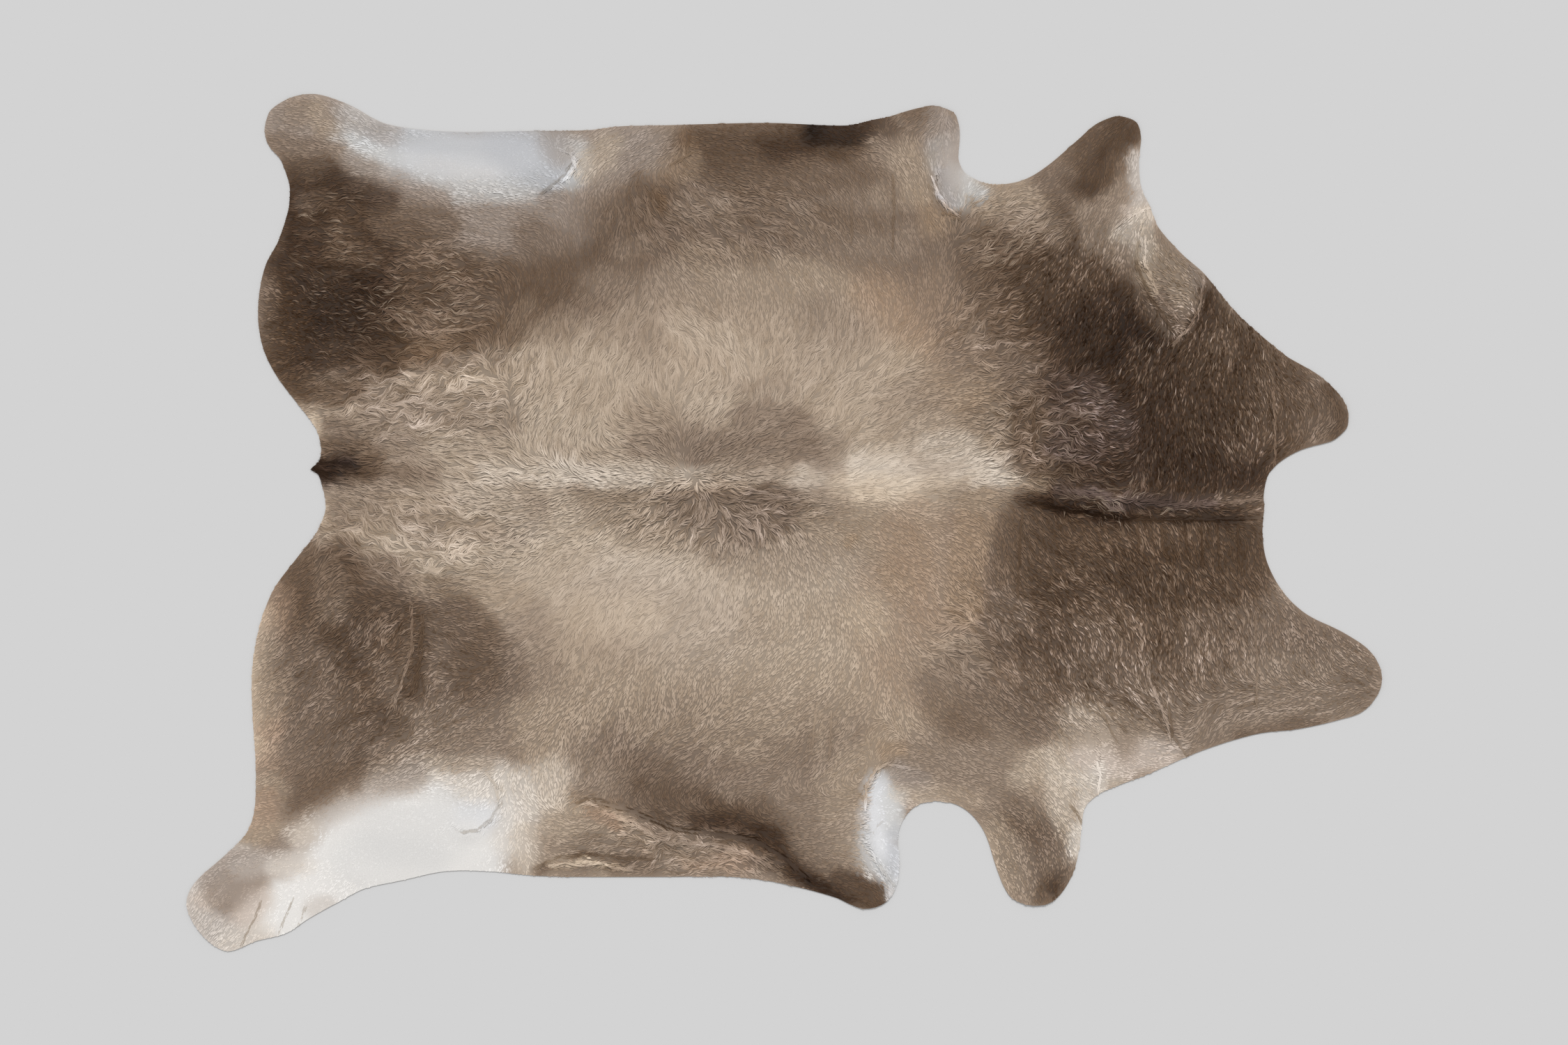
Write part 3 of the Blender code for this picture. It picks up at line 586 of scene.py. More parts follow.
LOWER_FLANK_SIDE = (
    ("dun", 0.8, 50, 60, ((960, 1080), (1080, 1080), (1180, 1080))),
    # Painted shade in a vertical crease of the lower flank
    ("taupe", 0.4, 14, 26, ((1170, 1020), (1163, 1065))),
    ("sand", 0.8, 20, 34, ((800, 1200), (850, 1190), (880, 1230))),
    ("dun", 0.7, 10, 26, ((790, 1225), (860, 1222), (905, 1240), (950, 1245))),
    ("dun", 0.7, 20, 40, ((860, 1090), (930, 1100), (1000, 1100))),
    ("umber", 0.9, 14, 28, ((960, 1164), (1030, 1172), (1080, 1182))),
    ("rose dun", 0.7, 12, 18, ((930, 1205), (1000, 1228), (1070, 1232))),
    # Painted highlight along the belly flap ridge
    ("honey", 0.5, 5, 12, ((860, 1152), (885, 1166), (905, 1180))),
    ("taupe", 0.8, 24, 40, ((1120, 1160), (1180, 1210))),
    ("umber", 0.9, 12, 26, ((1110, 1215), (1140, 1244), (1180, 1266), (1210, 1280))),
    ("brown", 0.8, 12, 24, ((1210, 1270), (1250, 1285))),
    ("honey", 0.6, 10, 24, ((1262, 1060), (1250, 1090))),
    ("sand", 0.5, 10, 26, ((1290, 1040), (1300, 1075))),
    ("cool white", 0.9, 10, 16, ((1276, 1140), (1266, 1165), (1262, 1200), (1274, 1230))),
    ("silver", 0.6, 6, 14, ((1262, 1175), (1272, 1215))),
    ("umber", 0.7, 18, 28, ((910, 1110), (950, 1130), (1000, 1150))),
    ("umber", 0.6, 12, 28, ((920, 1150), (960, 1185))),
    ("taupe", 0.6, 26, 40, ((900, 1070), (960, 1080), (1080, 1100))),
    ("dark umber", 0.8, 10, 18, ((1010, 1182), (1070, 1192), (1110, 1205))),
    ("dun", 0.7, 20, 30, ((1200, 1060), (1215, 1120), (1215, 1180))),
    ("sand", 0.7, 14, 26, ((1225, 1100), (1230, 1160), (1235, 1210))),
    ("dun", 0.7, 18, 26, ((1160, 1185), (1190, 1212))),
    ("ash cream", 0.9, 10, 16, ((1222, 1180), (1230, 1215), (1250, 1246))),
    ("dark umber", 0.9, 12, 18, ((1130, 1232), (1160, 1256), (1190, 1272))),
    ("dark umber", 0.8, 6, 14, ((1175, 1270), (1205, 1282))),
    ("umber", 0.9, 8, 16, ((1230, 1290), (1262, 1290))),
    ("silver", 0.9, 12, 14, ((1268, 1120), (1260, 1160), (1264, 1210), (1284, 1256))),
    ("blush", 0.8, 10, 16, ((1300, 1122), (1304, 1140))),
    # Painted shade in the lower armpit crease
    ("cool grey", 0.6, 4, 9, ((1252, 1196), (1262, 1180))),
    ("sand", 0.6, 8, 14, ((940, 1218), (980, 1222))),
    ("taupe", 0.6, 6, 12, ((1080, 1236), (1110, 1240))),
    # Painted highlight on the navel bump
    ("tan", 0.8, 5, 11, ((834, 1154), (850, 1152))),
    # This stroke is partly the flap's rosy hair and partly painted highlight along its ridge; the next is
    # painted highlight on the ridge
    ("rose dun", 0.9, 7, 14, ((858, 1164), (890, 1180), (930, 1200))),
    ("tan", 0.5, 3, 8, ((862, 1156), (884, 1166), (912, 1184))),
    # Painted shade in the belly flap crease
    ("umber", 0.8, 3, 9, ((935, 1195), (980, 1204), (1040, 1206), (1095, 1214))),
    # Painted shade in the belly hem crease
    ("brown", 0.8, 4, 10, ((770, 1248), (830, 1232), (880, 1232), (930, 1236))),
    # Painted highlight along the belly hem ridge
    ("tan", 0.8, 2, 6, ((785, 1243), (830, 1240), (880, 1244), (900, 1250))),
    ("brown", 0.6, 4, 10, ((880, 1250), (940, 1250))),
    ("dun", 0.5, 8, 16, ((850, 1215), (900, 1218))),
    ("bronze", 0.5, 6, 16, ((835, 1145), (880, 1150))),
    ("sand", 0.6, 20, 34, ((1300, 1050), (1290, 1080))),
    ("dun", 0.5, 20, 34, ((1300, 1100), (1360, 1120), (1410, 1130))),
    ("umber", 0.6, 10, 20, ((1100, 1170), (1150, 1205), (1190, 1240))),
    ("brown", 0.6, 8, 16, ((1190, 1262), (1240, 1278))),
    ("dun", 0.4, 10, 20, ((960, 1200), (1060, 1204))),
    ("dun", 0.6, 12, 26, ((880, 1120), (850, 1130))),
    ("taupe", 0.5, 12, 26, ((900, 1150), (940, 1160), (990, 1166))),
    ("dun", 0.7, 10, 20, ((920, 1196), (960, 1208), (1000, 1216))),
    ("dun", 0.5, 10, 20, ((910, 1244), (950, 1240))),
    ("dun", 0.7, 24, 40, ((1120, 1130), (1160, 1160), (1190, 1190))),
    ("sand", 0.6, 14, 26, ((1200, 1130), (1205, 1180), (1215, 1220))),
    ("dun", 0.6, 10, 22, ((1150, 1210), (1180, 1236), (1210, 1250))),
    ("cool white", 0.9, 13, 14, ((1262, 1130), (1252, 1170), (1258, 1210), (1276, 1246))),
    ("silver", 0.9, 10, 14, ((1290, 1120), (1280, 1150), (1284, 1190))),
    ("cool white", 0.8, 8, 12, ((1284, 1230), (1288, 1262), (1282, 1280))),
    # Painted shade in the crease at the lower armpit's foot
    ("cool grey", 0.5, 3, 8, ((1266, 1250), (1282, 1268))),
    ("cream", 0.6, 12, 20, ((1300, 1112), (1320, 1128), (1336, 1146))),
    ("taupe", 0.5, 3, 8, ((1274, 1098), (1300, 1100), (1330, 1116))),
    ("sand", 0.7, 10, 22, ((1240, 1090), (1260, 1070), (1280, 1080))),
    ("black brown", 0.7, 4, 10, ((1150, 1262), (1190, 1278), (1212, 1290))),
    ("dark umber", 0.6, 8, 18, ((1206, 1262), (1240, 1276))),
    ("sand", 0.4, 8, 18, ((1070, 1080), (1100, 1085))),
    ("sand", 0.5, 20, 36, ((1020, 1040), (1060, 1050), (1180, 1050))),
    # This stroke and the next are painted shade in vertical creases of the lower flank
    ("taupe", 0.4, 5, 14, ((1150, 1030), (1156, 1070), (1158, 1110))),
    ("taupe", 0.4, 5, 14, ((1196, 1030), (1192, 1080))),
    ("sand", 0.5, 12, 26, ((918, 1036), (960, 1044))),
    ("honey", 0.3, 5, 10, ((1234, 1146), (1232, 1182))),
    # Painted shade in the lower armpit's white fold
    ("cool grey", 0.6, 6, 14, ((1284, 1196), (1285, 1246))),
    ("dark umber", 0.6, 5, 14, ((1000, 1176), (1050, 1188), (1096, 1204))),
    ("taupe", 0.4, 10, 24, ((1110, 1082), (1130, 1078))),
    ("brown", 0.5, 6, 14, ((1226, 1276), (1252, 1284))),
)
SHOULDER = (
    ("taupe", 0.8, 40, 50, ((1420, 380), (1500, 380), (1570, 370))),
    ("umber", 1.0, 80, 70, ((1580, 480), (1640, 600), (1760, 600))),
    ("umber", 0.9, 60, 60, ((1540, 790), (1620, 800), (1740, 790))),
    ("brown", 0.9, 60, 60, ((1500, 920), (1600, 930), (1720, 880))),
    ("dun", 0.8, 50, 70, ((1780, 980), (1860, 960), (1940, 980))),
    ("brown", 0.6, 10, 50, ((1470, 460), (1470, 560), (1480, 650))),
    ("dark umber", 0.9, 40, 60, ((1590, 470), (1640, 560), (1700, 640), (1760, 660))),
    ("black brown", 0.9, 20, 50, ((1560, 480), (1610, 484), (1650, 476))),
    ("taupe", 0.8, 30, 50, ((1850, 560), (1910, 590))),
    ("umber", 0.5, 14, 40, ((1750, 460), (1790, 520), (1830, 620))),
    ("slate", 0.6, 30, 40, ((1540, 580), (1580, 630), (1600, 660))),
    ("umber", 0.6, 20, 40, ((1520, 850), (1540, 960))),
    ("umber", 0.4, 20, 30, ((1450, 920),)),
    ("umber", 0.5, 16, 30, ((1675, 925),)),
    ("dun", 0.5, 12, 30, ((1640, 980), (1680, 1020))),
    ("taupe", 0.7, 6, 20, ((1750, 1066), (1800, 1050), (1850, 1044))),
    ("dun", 0.4, 20, 30, ((1880, 990),)),
    ("brown", 0.8, 24, 40, ((1450, 350), (1470, 410), (1470, 460))),
    ("umber", 0.7, 16, 34, ((1515, 300), (1520, 360), (1510, 420))),
    ("brown", 0.6, 16, 34, ((1430, 730), (1440, 790), (1440, 850))),
    ("taupe", 0.6, 20, 40, ((1395, 730), (1400, 800), (1400, 880))),
    ("taupe", 0.7, 14, 30, ((1340, 980), (1380, 960), (1400, 990))),
    ("dark umber", 0.7, 24, 34, ((1530, 660), (1580, 690))),
    ("dark umber", 0.6, 30, 50, ((1600, 620), (1660, 680), (1760, 690))),
    ("slate", 0.6, 14, 26, ((1520, 560), (1570, 580), (1600, 610))),
    ("taupe", 0.5, 14, 26, ((1450, 520), (1480, 560))),
    ("umber", 0.7, 20, 40, ((1620, 830), (1700, 830), (1780, 820))),
    ("bistre", 0.6, 16, 30, ((1540, 770), (1620, 772), (1700, 778))),
    ("brown", 0.6, 16, 34, ((1830, 560), (1850, 520))),
    ("umber", 0.7, 5, 12, ((1905, 560), (1926, 600), (1915, 625))),
    ("umber", 0.8, 12, 22, ((1720, 430), (1750, 470), (1790, 500))),
    ("dun", 0.6, 16, 30, ((1560, 1000), (1600, 1010), (1640, 1020))),
    ("sand", 0.7, 16, 30, ((1570, 1050), (1620, 1060), (1650, 1050))),
    ("taupe", 0.7, 20, 34, ((1720, 920), (1780, 900), (1850, 900))),
    ("taupe", 0.7, 20, 30, ((1900, 920), (1950, 950), (1960, 990))),
    ("umber", 0.8, 4, 9, ((1776, 1056), (1830, 1046), (1890, 1036))),
    ("rose dun", 0.5, 8, 20, ((1440, 980), (1460, 960))),
    ("taupe", 0.5, 10, 20, ((1715, 440), (1720, 470))),
    ("brown", 0.6, 10, 24, ((1560, 400), (1600, 380))),
    ("dun", 0.6, 12, 24, ((1616, 350), (1636, 400), (1664, 440), (1684, 470))),
    ("sand", 0.6, 14, 26, ((1500, 1040), (1560, 1030), (1600, 1040))),
    ("brown", 0.6, 14, 30, ((1620, 760), (1700, 762))),
    ("brown", 0.6, 10, 22, ((1860, 570), (1900, 590))),
    ("umber", 0.4, 20, 34, ((1560, 440), (1560, 480))),
    ("brown", 0.5, 10, 20, ((1464, 700), (1470, 730))),
    ("umber", 0.5, 8, 18, ((1712, 460), (1706, 490))),
    ("brown", 0.5, 14, 28, ((1780, 640), (1800, 600))),
    ("brown", 0.5, 30, 44, ((1430, 370), (1450, 420), (1450, 470))),
    ("umber", 0.5, 14, 30, ((1480, 360), (1484, 420), (1490, 480))),
    ("brown", 0.5, 20, 36, ((1410, 400), (1420, 450))),
    ("dark umber", 0.5, 14, 30, ((1510, 470), (1516, 520), (1510, 560))),
    ("brown", 0.6, 14, 26, ((1480, 590), (1480, 640), (1484, 680))),
    ("slate", 0.5, 12, 24, ((1520, 640), (1560, 640))),
    ("umber", 0.5, 14, 30, ((1640, 520), (1680, 520), (1710, 540))),
    ("umber", 0.5, 20, 36, ((1720, 600), (1760, 600), (1780, 580))),
    ("brown", 0.5, 14, 30, ((1840, 560), (1836, 600), (1830, 640))),
    ("brown", 0.5, 10, 24, ((1740, 480), (1760, 500))),
    ("umber", 0.5, 6, 14, ((1726, 430), (1730, 470))),
    ("taupe", 0.5, 8, 18, ((1640, 360), (1644, 400))),
    ("brown", 0.5, 16, 26, ((1880, 636), (1870, 640))),
    ("dun", 0.6, 10, 20, ((1420, 730), (1400, 716))),
    ("brown", 0.6, 14, 16, ((1446, 740), (1444, 800), (1440, 850), (1436, 900))),
    ("taupe", 0.5, 10, 18, ((1402, 740), (1410, 800), (1408, 850))),
    ("taupe", 0.6, 20, 36, ((1440, 880), (1450, 930), (1560, 920))),
    ("brown", 0.5, 20, 36, ((1490, 780), (1560, 800))),
    ("taupe", 0.6, 16, 30, ((1560, 960), (1640, 960), (1600, 980))),
    ("taupe", 0.6, 20, 34, ((1470, 1000), (1480, 1040), (1520, 1010))),
    ("sand", 0.8, 16, 28, ((1520, 1050), (1560, 1050), (1590, 1050))),
    ("dun", 0.6, 14, 26, ((1700, 1030), (1740, 1040), (1780, 1030))),
    ("dun", 0.6, 12, 22, ((1800, 1030), (1840, 1030), (1880, 1024))),
    ("dun", 0.5, 20, 34, ((1920, 960), (1960, 980), (1950, 1000))),
    ("brown", 0.4, 24, 36, ((1700, 930), (1720, 960), (1740, 920))),
    ("brown", 0.4, 16, 30, ((1780, 840), (1800, 820))),
    ("brown", 0.4, 10, 24, ((1340, 1020), (1380, 1010), (1410, 990))),
    ("umber", 0.5, 5, 12, ((1620, 1010), (1650, 1020), (1680, 1060))),
    ("brown", 0.5, 6, 14, ((1790, 720), (1806, 740))),
    ("umber", 0.45, 14, 24, ((1428, 362), (1472, 362), (1440, 396))),
    ("taupe", 0.4, 10, 22, ((1396, 480), (1440, 500), (1480, 518))),
    ("brown", 0.4, 8, 20, ((1392, 600), (1424, 606))),
    ("taupe", 0.5, 14, 24, ((1428, 870), (1450, 890))),
    ("umber", 0.4, 12, 30, ((1478, 924), (1524, 920))),
    ("rose dun", 0.38, 42, 26, ((1310, 770), (1362, 784), (1362, 860))),
    ("honey", 0.6, 22, 12, ((1404, 726), (1388, 800), (1382, 870))),
    ("brown", 0.4, 26, 40, ((1410, 345), (1470, 350))),
)
FORELEGS = (
    ("dun", 0.8, 30, 40, ((1330, 1100), (1400, 1090), (1440, 1110))),
    ("brown", 0.6, 14, 36, ((1380, 1040), (1430, 1030), (1500, 1010))),
    ("sand", 0.9, 24, 30, ((1440, 1190), (1455, 1250))),
    ("taupe", 0.9, 14, 28, ((1475, 1160), (1495, 1210), (1500, 1250))),
    ("brown", 0.8, 8, 18, ((1520, 1256), (1500, 1286))),
    ("cream", 0.9, 18, 34, ((1545, 1110), (1585, 1100))),
    ("ivory", 0.6, 6, 14, ((1542, 1180), (1540, 1225))),
    ("blush", 0.9, 12, 26, ((1590, 1090), (1640, 1085), (1670, 1080))),
    ("dun", 0.8, 16, 36, ((1500, 1060), (1540, 1050), (1600, 1060))),
    ("dun", 0.9, 20, 30, ((1280, 210), (1320, 195))),
    ("brown", 0.6, 6, 14, ((1305, 165), (1335, 158))),
    ("ash", 1.0, 8, 12, ((1362, 180), (1364, 220), (1360, 250))),
    ("silver", 0.9, 8, 14, ((1385, 262), (1405, 275))),
    ("honey", 0.7, 10, 26, ((1335, 290), (1340, 320))),
    ("sand", 0.8, 16, 30, ((1410, 290), (1470, 290))),
    ("dun", 0.7, 16, 30, ((1450, 330), (1500, 330))),
    ("cream", 0.9, 8, 22, ((1600, 322), (1636, 308))),
    ("dun", 0.9, 14, 20, ((1668, 360), (1690, 395), (1696, 430))),
    # Painted highlight along the shoulder fold's ridge
    ("sand", 0.6, 4, 12, ((1644, 340), (1648, 370))),
    ("taupe", 0.9, 26, 30, ((1520, 250), (1580, 200))),
    ("brown", 1.0, 12, 24, ((1612, 190), (1596, 230), (1570, 270))),
    ("ash cream", 0.6, 4, 14, ((1634, 235), (1636, 285))),
    ("dun", 0.8, 14, 24, ((1560, 310), (1610, 296))),
    ("umber", 0.7, 10, 16, ((1580, 215), (1586, 235), (1570, 262))),
    ("dun", 0.8, 5, 10, ((1612, 235), (1608, 275))),
    ("dark umber", 0.35, 8, 18, ((1548, 262), (1560, 275))),
    ("umber", 0.8, 10, 16, ((1598, 180), (1622, 190))),
    ("ash cream", 0.8, 6, 12, ((1628, 225), (1630, 255), (1634, 290))),
    ("dun", 0.6, 8, 18, ((1530, 230), (1560, 200))),
    ("blush", 0.9, 10, 16, ((1622, 314), (1642, 318))),
    ("dun", 0.8, 14, 22, ((1575, 345), (1604, 354))),
    # Painted highlight along the shoulder fold's ridge
    ("sand", 0.7, 3, 9, ((1634, 345), (1642, 390), (1656, 420))),
    ("umber", 0.5, 8, 16, ((1626, 420), (1650, 460))),
    ("dun", 0.7, 10, 16, ((1676, 380), (1696, 412))),
    ("taupe", 0.8, 8, 14, ((1666, 440), (1690, 462))),
    ("taupe", 0.5, 10, 20, ((1285, 196), (1320, 184))),
    ("ash", 0.8, 10, 18, ((1346, 168), (1340, 205))),
    ("ash cream", 0.4, 8, 14, ((1366, 205), (1366, 240))),
    ("ash", 0.6, 6, 12, ((1344, 255), (1356, 280))),
    ("sand", 0.7, 14, 26, ((1300, 230), (1320, 270))),
    ("dun", 0.7, 20, 30, ((1360, 1100), (1410, 1120), (1430, 1140))),
    ("sand", 0.8, 16, 26, ((1480, 1090), (1510, 1080))),
    ("brown", 0.7, 16, 26, ((1460, 1165), (1485, 1185))),
    ("brown", 0.6, 8, 16, ((1508, 1235), (1516, 1270))),
    ("pale sand", 0.8, 8, 14, ((1520, 1165), (1532, 1200))),
    ("dun", 0.8, 12, 20, ((1450, 1220), (1460, 1270))),
    ("ivory", 0.9, 7, 12, ((1535, 1150), (1548, 1175), (1546, 1215))),
    ("blush", 0.8, 12, 20, ((1550, 1092), (1580, 1094))),
    # Painted highlight on the elbow ridge
    ("ivory", 0.8, 4, 10, ((1574, 1105), (1578, 1135))),
    ("cream", 0.8, 14, 24, ((1520, 1120), (1540, 1130))),
    ("dun", 0.6, 10, 20, ((1480, 1110), (1490, 1140))),
    ("silver", 0.4, 10, 18, ((1350, 215), (1350, 235))),
    ("taupe", 0.6, 8, 16, ((1520, 262), (1530, 250))),
    ("dark umber", 0.6, 10, 20, ((1560, 230), (1580, 210), (1560, 200))),
    ("brown", 0.6, 12, 22, ((1540, 220), (1570, 190))),
    ("brown", 0.6, 8, 16, ((1600, 200), (1600, 240))),
    ("silver", 0.8, 8, 14, ((1370, 250), (1366, 276), (1376, 290))),
    ("silver", 0.8, 6, 12, ((1395, 276), (1410, 282))),
    # Painted shade beside the upper armpit crease
    ("cool grey", 0.6, 4, 10, ((1352, 250), (1356, 276), (1366, 292))),
    ("cream", 0.8, 10, 18, ((1610, 330), (1630, 330), (1640, 312))),
    # Painted highlight along the shoulder fold's ridge
    ("sand", 0.8, 8, 16, ((1640, 340), (1640, 370), (1644, 400))),
    ("sand", 0.5, 10, 16, ((1664, 370), (1684, 396), (1694, 420))),
    # Painted shade in the shoulder pleat
    ("dark umber", 0.5, 6, 14, ((1740, 410), (1736, 450), (1716, 490))),
    ("pale sand", 0.8, 14, 22, ((1470, 1110), (1500, 1110), (1490, 1090))),
    ("sand", 0.8, 12, 22, ((1500, 1140), (1520, 1150), (1540, 1160))),
    ("dun", 0.6, 12, 24, ((1450, 1150), (1470, 1150), (1480, 1160))),
    ("sand", 0.6, 10, 20, ((1430, 1200), (1440, 1240), (1450, 1260))),
    ("taupe", 0.6, 10, 20, ((1515, 1230), (1506, 1200))),
    ("dun", 0.6, 12, 24, ((1330, 1090), (1370, 1085))),
    ("dun", 0.5, 12, 24, ((1440, 1050), (1450, 1080))),
    ("dark umber", 0.6, 5, 12, ((1512, 1276), (1522, 1256))),
    ("brown", 0.4, 8, 20, ((1552, 206), (1560, 240))),
    ("umber", 0.5, 6, 16, ((1600, 196), (1604, 206))),
    ("taupe", 0.5, 14, 28, ((1404, 1000), (1478, 1012), (1484, 1044))),
    ("cream", 0.4, 14, 30, ((1552, 1034), (1568, 1056))),
    ("dun", 0.6, 12, 24, ((1640, 1000), (1682, 1040), (1724, 1020))),
    ("cream", 0.5, 10, 20, ((1516, 1080), (1520, 1120), (1522, 1166))),
    ("dun", 0.5, 8, 18, ((1394, 1150), (1404, 1172))),
    ("ivory", 0.6, 4, 12, ((1556, 1150), (1562, 1170))),
    ("dun", 0.4, 8, 18, ((1512, 1236), (1522, 1246))),
    ("ash", 0.7, 8, 16, ((1292, 1112), (1322, 1122))),
    ("silver", 0.5, 5, 12, ((1262, 1240), (1276, 1262))),
)
SPINE_MARKS_AND_SHADE = (
    # Strokes along the spine and withers: the dark ones are partly the dark hair there and partly painted
    # shadow below the withers crest, the slate and taupe ones partly painted highlight on the crest, and the
    # cream ones the spine's pale hair
    ("umber", 0.9, 8, 20, ((1490, 718), (1530, 726), (1570, 735), (1620, 748))),
    ("cream", 0.5, 4, 14, ((1420, 684), (1460, 690))),
    ("slate", 0.7, 4, 12, ((1540, 705), (1600, 718), (1680, 722), (1740, 722))),
    ("taupe", 0.6, 4, 12, ((1750, 718), (1808, 716))),
    ("black brown", 0.5, 3, 9, ((1640, 742), (1700, 745), (1770, 745))),
    ("dark umber", 0.8, 8, 18, ((1500, 716), (1560, 728), (1610, 738))),
    ("slate", 0.7, 6, 12, ((1520, 702), (1570, 710), (1610, 718))),
    ("cream", 0.7, 5, 12, ((1400, 690), (1450, 690))),
    ("black brown", 0.8, 4, 9, ((1500, 724), (1560, 736), (1610, 740))),
    ("char", 0.6, 5, 14, ((1620, 718), (1680, 722))),
    ("dark umber", 0.6, 4, 12, ((1640, 704), (1720, 706))),
    ("dark umber", 0.5, 6, 14, ((1470, 712), (1500, 716))),
)
LAST_TOUCHES = (
    ("taupe", 0.35, 6, 16, ((510, 238), (532, 246))),
    ("brown", 0.6, 14, 26, ((560, 320), (604, 322), (642, 322))),
    ("brown", 0.5, 10, 24, ((600, 362), (640, 400))),
    ("brown", 0.3, 8, 20, ((630, 482), (680, 482), (725, 480))),
    ("brown", 0.25, 8, 24, ((760, 480), (800, 480))),
    ("brown", 0.5, 14, 26, ((760, 340), (800, 358))),
    ("brown", 0.4, 12, 26, ((880, 320), (915, 318), (922, 284), (955, 282))),
    ("pale sand", 0.2, 12, 26, ((640, 560), (690, 562), (720, 598))),
    ("brown", 0.4, 6, 16, ((545, 680), (610, 682))),
    ("cream", 0.6, 6, 18, ((700, 680), (780, 682), (860, 682))),
    ("dun", 0.4, 5, 14, ((1000, 682), (1110, 684))),
    ("dark umber", 0.4, 8, 18, ((1185, 190), (1240, 188))),
    ("ash", 0.5, 10, 18, ((1364, 210), (1362, 246), (1363, 282))),
    ("umber", 0.5, 14, 26, ((1438, 362), (1480, 362))),
    ("dun", 0.4, 8, 18, ((1396, 318), (1398, 362))),
    ("cream", 0.6, 6, 16, ((1640, 320), (1641, 366))),
    ("taupe", 0.5, 5, 12, ((1592, 324), (1606, 316))),
    ("ash", 0.5, 5, 12, ((1712, 392), (1722, 408))),
    ("brown", 0.4, 8, 18, ((1556, 200),)),
    ("dun", 0.4, 8, 18, ((1392, 476), (1404, 486))),
    ("umber", 0.3, 12, 28, ((1480, 600), (1560, 602))),
    ("sand", 0.5, 8, 18, ((1360, 716), (1405, 718), (1436, 720))),
    ("brown", 0.35, 24, 40, ((1838, 524), (1840, 562))),
    ("umber", 0.3, 16, 30, ((1758, 600),)),
    ("taupe", 0.3, 30, 50, ((440, 960), (478, 1040), (450, 1115))),
    ("sand", 0.4, 8, 18, ((356, 970), (357, 1010))),
    ("taupe", 0.35, 10, 22, ((555, 1040), (520, 1120), (595, 1118))),
    # Painted shade in the thigh crease
    ("brown", 0.35, 5, 14, ((597, 875), (598, 1000))),
    ("dun", 0.25, 20, 36, ((640, 1050), (678, 1080))),
    ("cream", 0.6, 8, 18, ((432, 1202), (446, 1194))),
    ("ivory", 0.5, 8, 16, ((396, 1244), (438, 1240))),
    ("ash cream", 0.5, 8, 18, ((345, 1246), (372, 1240))),
    ("ash", 0.4, 10, 20, ((316, 1280), (356, 1282))),
    ("cream", 0.4, 8, 18, ((756, 1198), (760, 1236))),
    ("sand", 0.5, 8, 16, ((796, 1240), (804, 1238))),
    ("sand", 0.5, 6, 14, ((908, 1196), (924, 1202))),
    ("cream", 0.35, 10, 26, ((670, 720), (720, 722), (760, 758))),
    ("tan", 0.3, 16, 36, ((850, 880), (920, 880))),
    ("taupe", 0.3, 10, 24, ((1080, 720), (1082, 760))),
    ("brown", 0.35, 6, 16, ((1552, 1000), (1566, 1000))),
    ("taupe", 0.5, 14, 26, ((1475, 1020), (1485, 1045))),
    ("dun", 0.25, 20, 36, ((1330, 960), (1400, 1000))),
    ("dun", 0.4, 14, 26, ((1640, 1010), (1680, 1040), (1720, 1024))),
    ("honey", 0.7, 6, 14, ((1272, 1078), (1292, 1074))),
    ("dun", 0.4, 14, 26, ((1355, 1100), (1398, 1130), (1400, 1160))),
    ("cream", 0.4, 10, 20, ((1518, 1120), (1520, 1160))),
    ("ivory", 0.4, 8, 16, ((1556, 1120), (1562, 1158))),
    ("silver", 0.5, 6, 14, ((1240, 1196), (1244, 1240))),
    ("dun", 0.4, 8, 20, ((1190, 1200), (1204, 1196))),
    ("umber", 0.35, 10, 22, ((1070, 1160), (1090, 1162))),
    ("sand", 0.5, 20, 40, ((1080, 1000), (1190, 1000))),
    ("sand", 0.35, 9, 16, ((652, 784), (668, 786))),
    ("bistre", 0.5, 6, 26, ((402, 404), (398, 460), (404, 520), (422, 560))),
    ("ash cream", 0.4, 10, 24, ((540, 1130), (600, 1112))),
    ("sand", 0.3, 6, 16, ((382, 940), (380, 1030))),
    ("ash", 0.4, 8, 20, ((312, 1262), (330, 1280))),
    # Softens the painted shade in the thigh crease
    ("brown", 0.3, 4, 14, ((586, 890), (582, 980))),
    ("honey", 0.3, 4, 12, ((950, 694), (1060, 697))),
    ("umber", 0.3, 5, 12, ((1610, 706), (1790, 706))),
    ("tan", 0.28, 6, 14, ((1290, 1140), (1340, 1135), (1400, 1148))),
    ("silver", 0.25, 30, 40, ((500, 1200), (690, 1205))),
    ("cool grey", 0.2, 20, 30, ((630, 215), (760, 222))),
    ("ash cream", 0.3, 6, 14, ((1616, 332), (1636, 356))),
    ("taupe", 0.25, 30, 50, ((1640, 990), (1750, 980))),
    ("umber", 0.3, 6, 14, ((1530, 262), (1545, 275))),
    ("dark umber", 0.4, 6, 14, ((1250, 188), (1275, 187))),
    ("tan", 0.35, 5, 12, ((1452, 699), (1490, 700))),
)
STROKES = (
    BACK + UPPER_FLANK_SIDE + UPPER_RUMP_SIDE + UPPER_BELLY_SIDE + TAIL_END
    + LOWER_RUMP_SIDE + LOWER_BELLY_SIDE + LOWER_FLANK_SIDE + SHOULDER + FORELEGS + SPINE_MARKS_AND_SHADE + LAST_TOUCHES
)

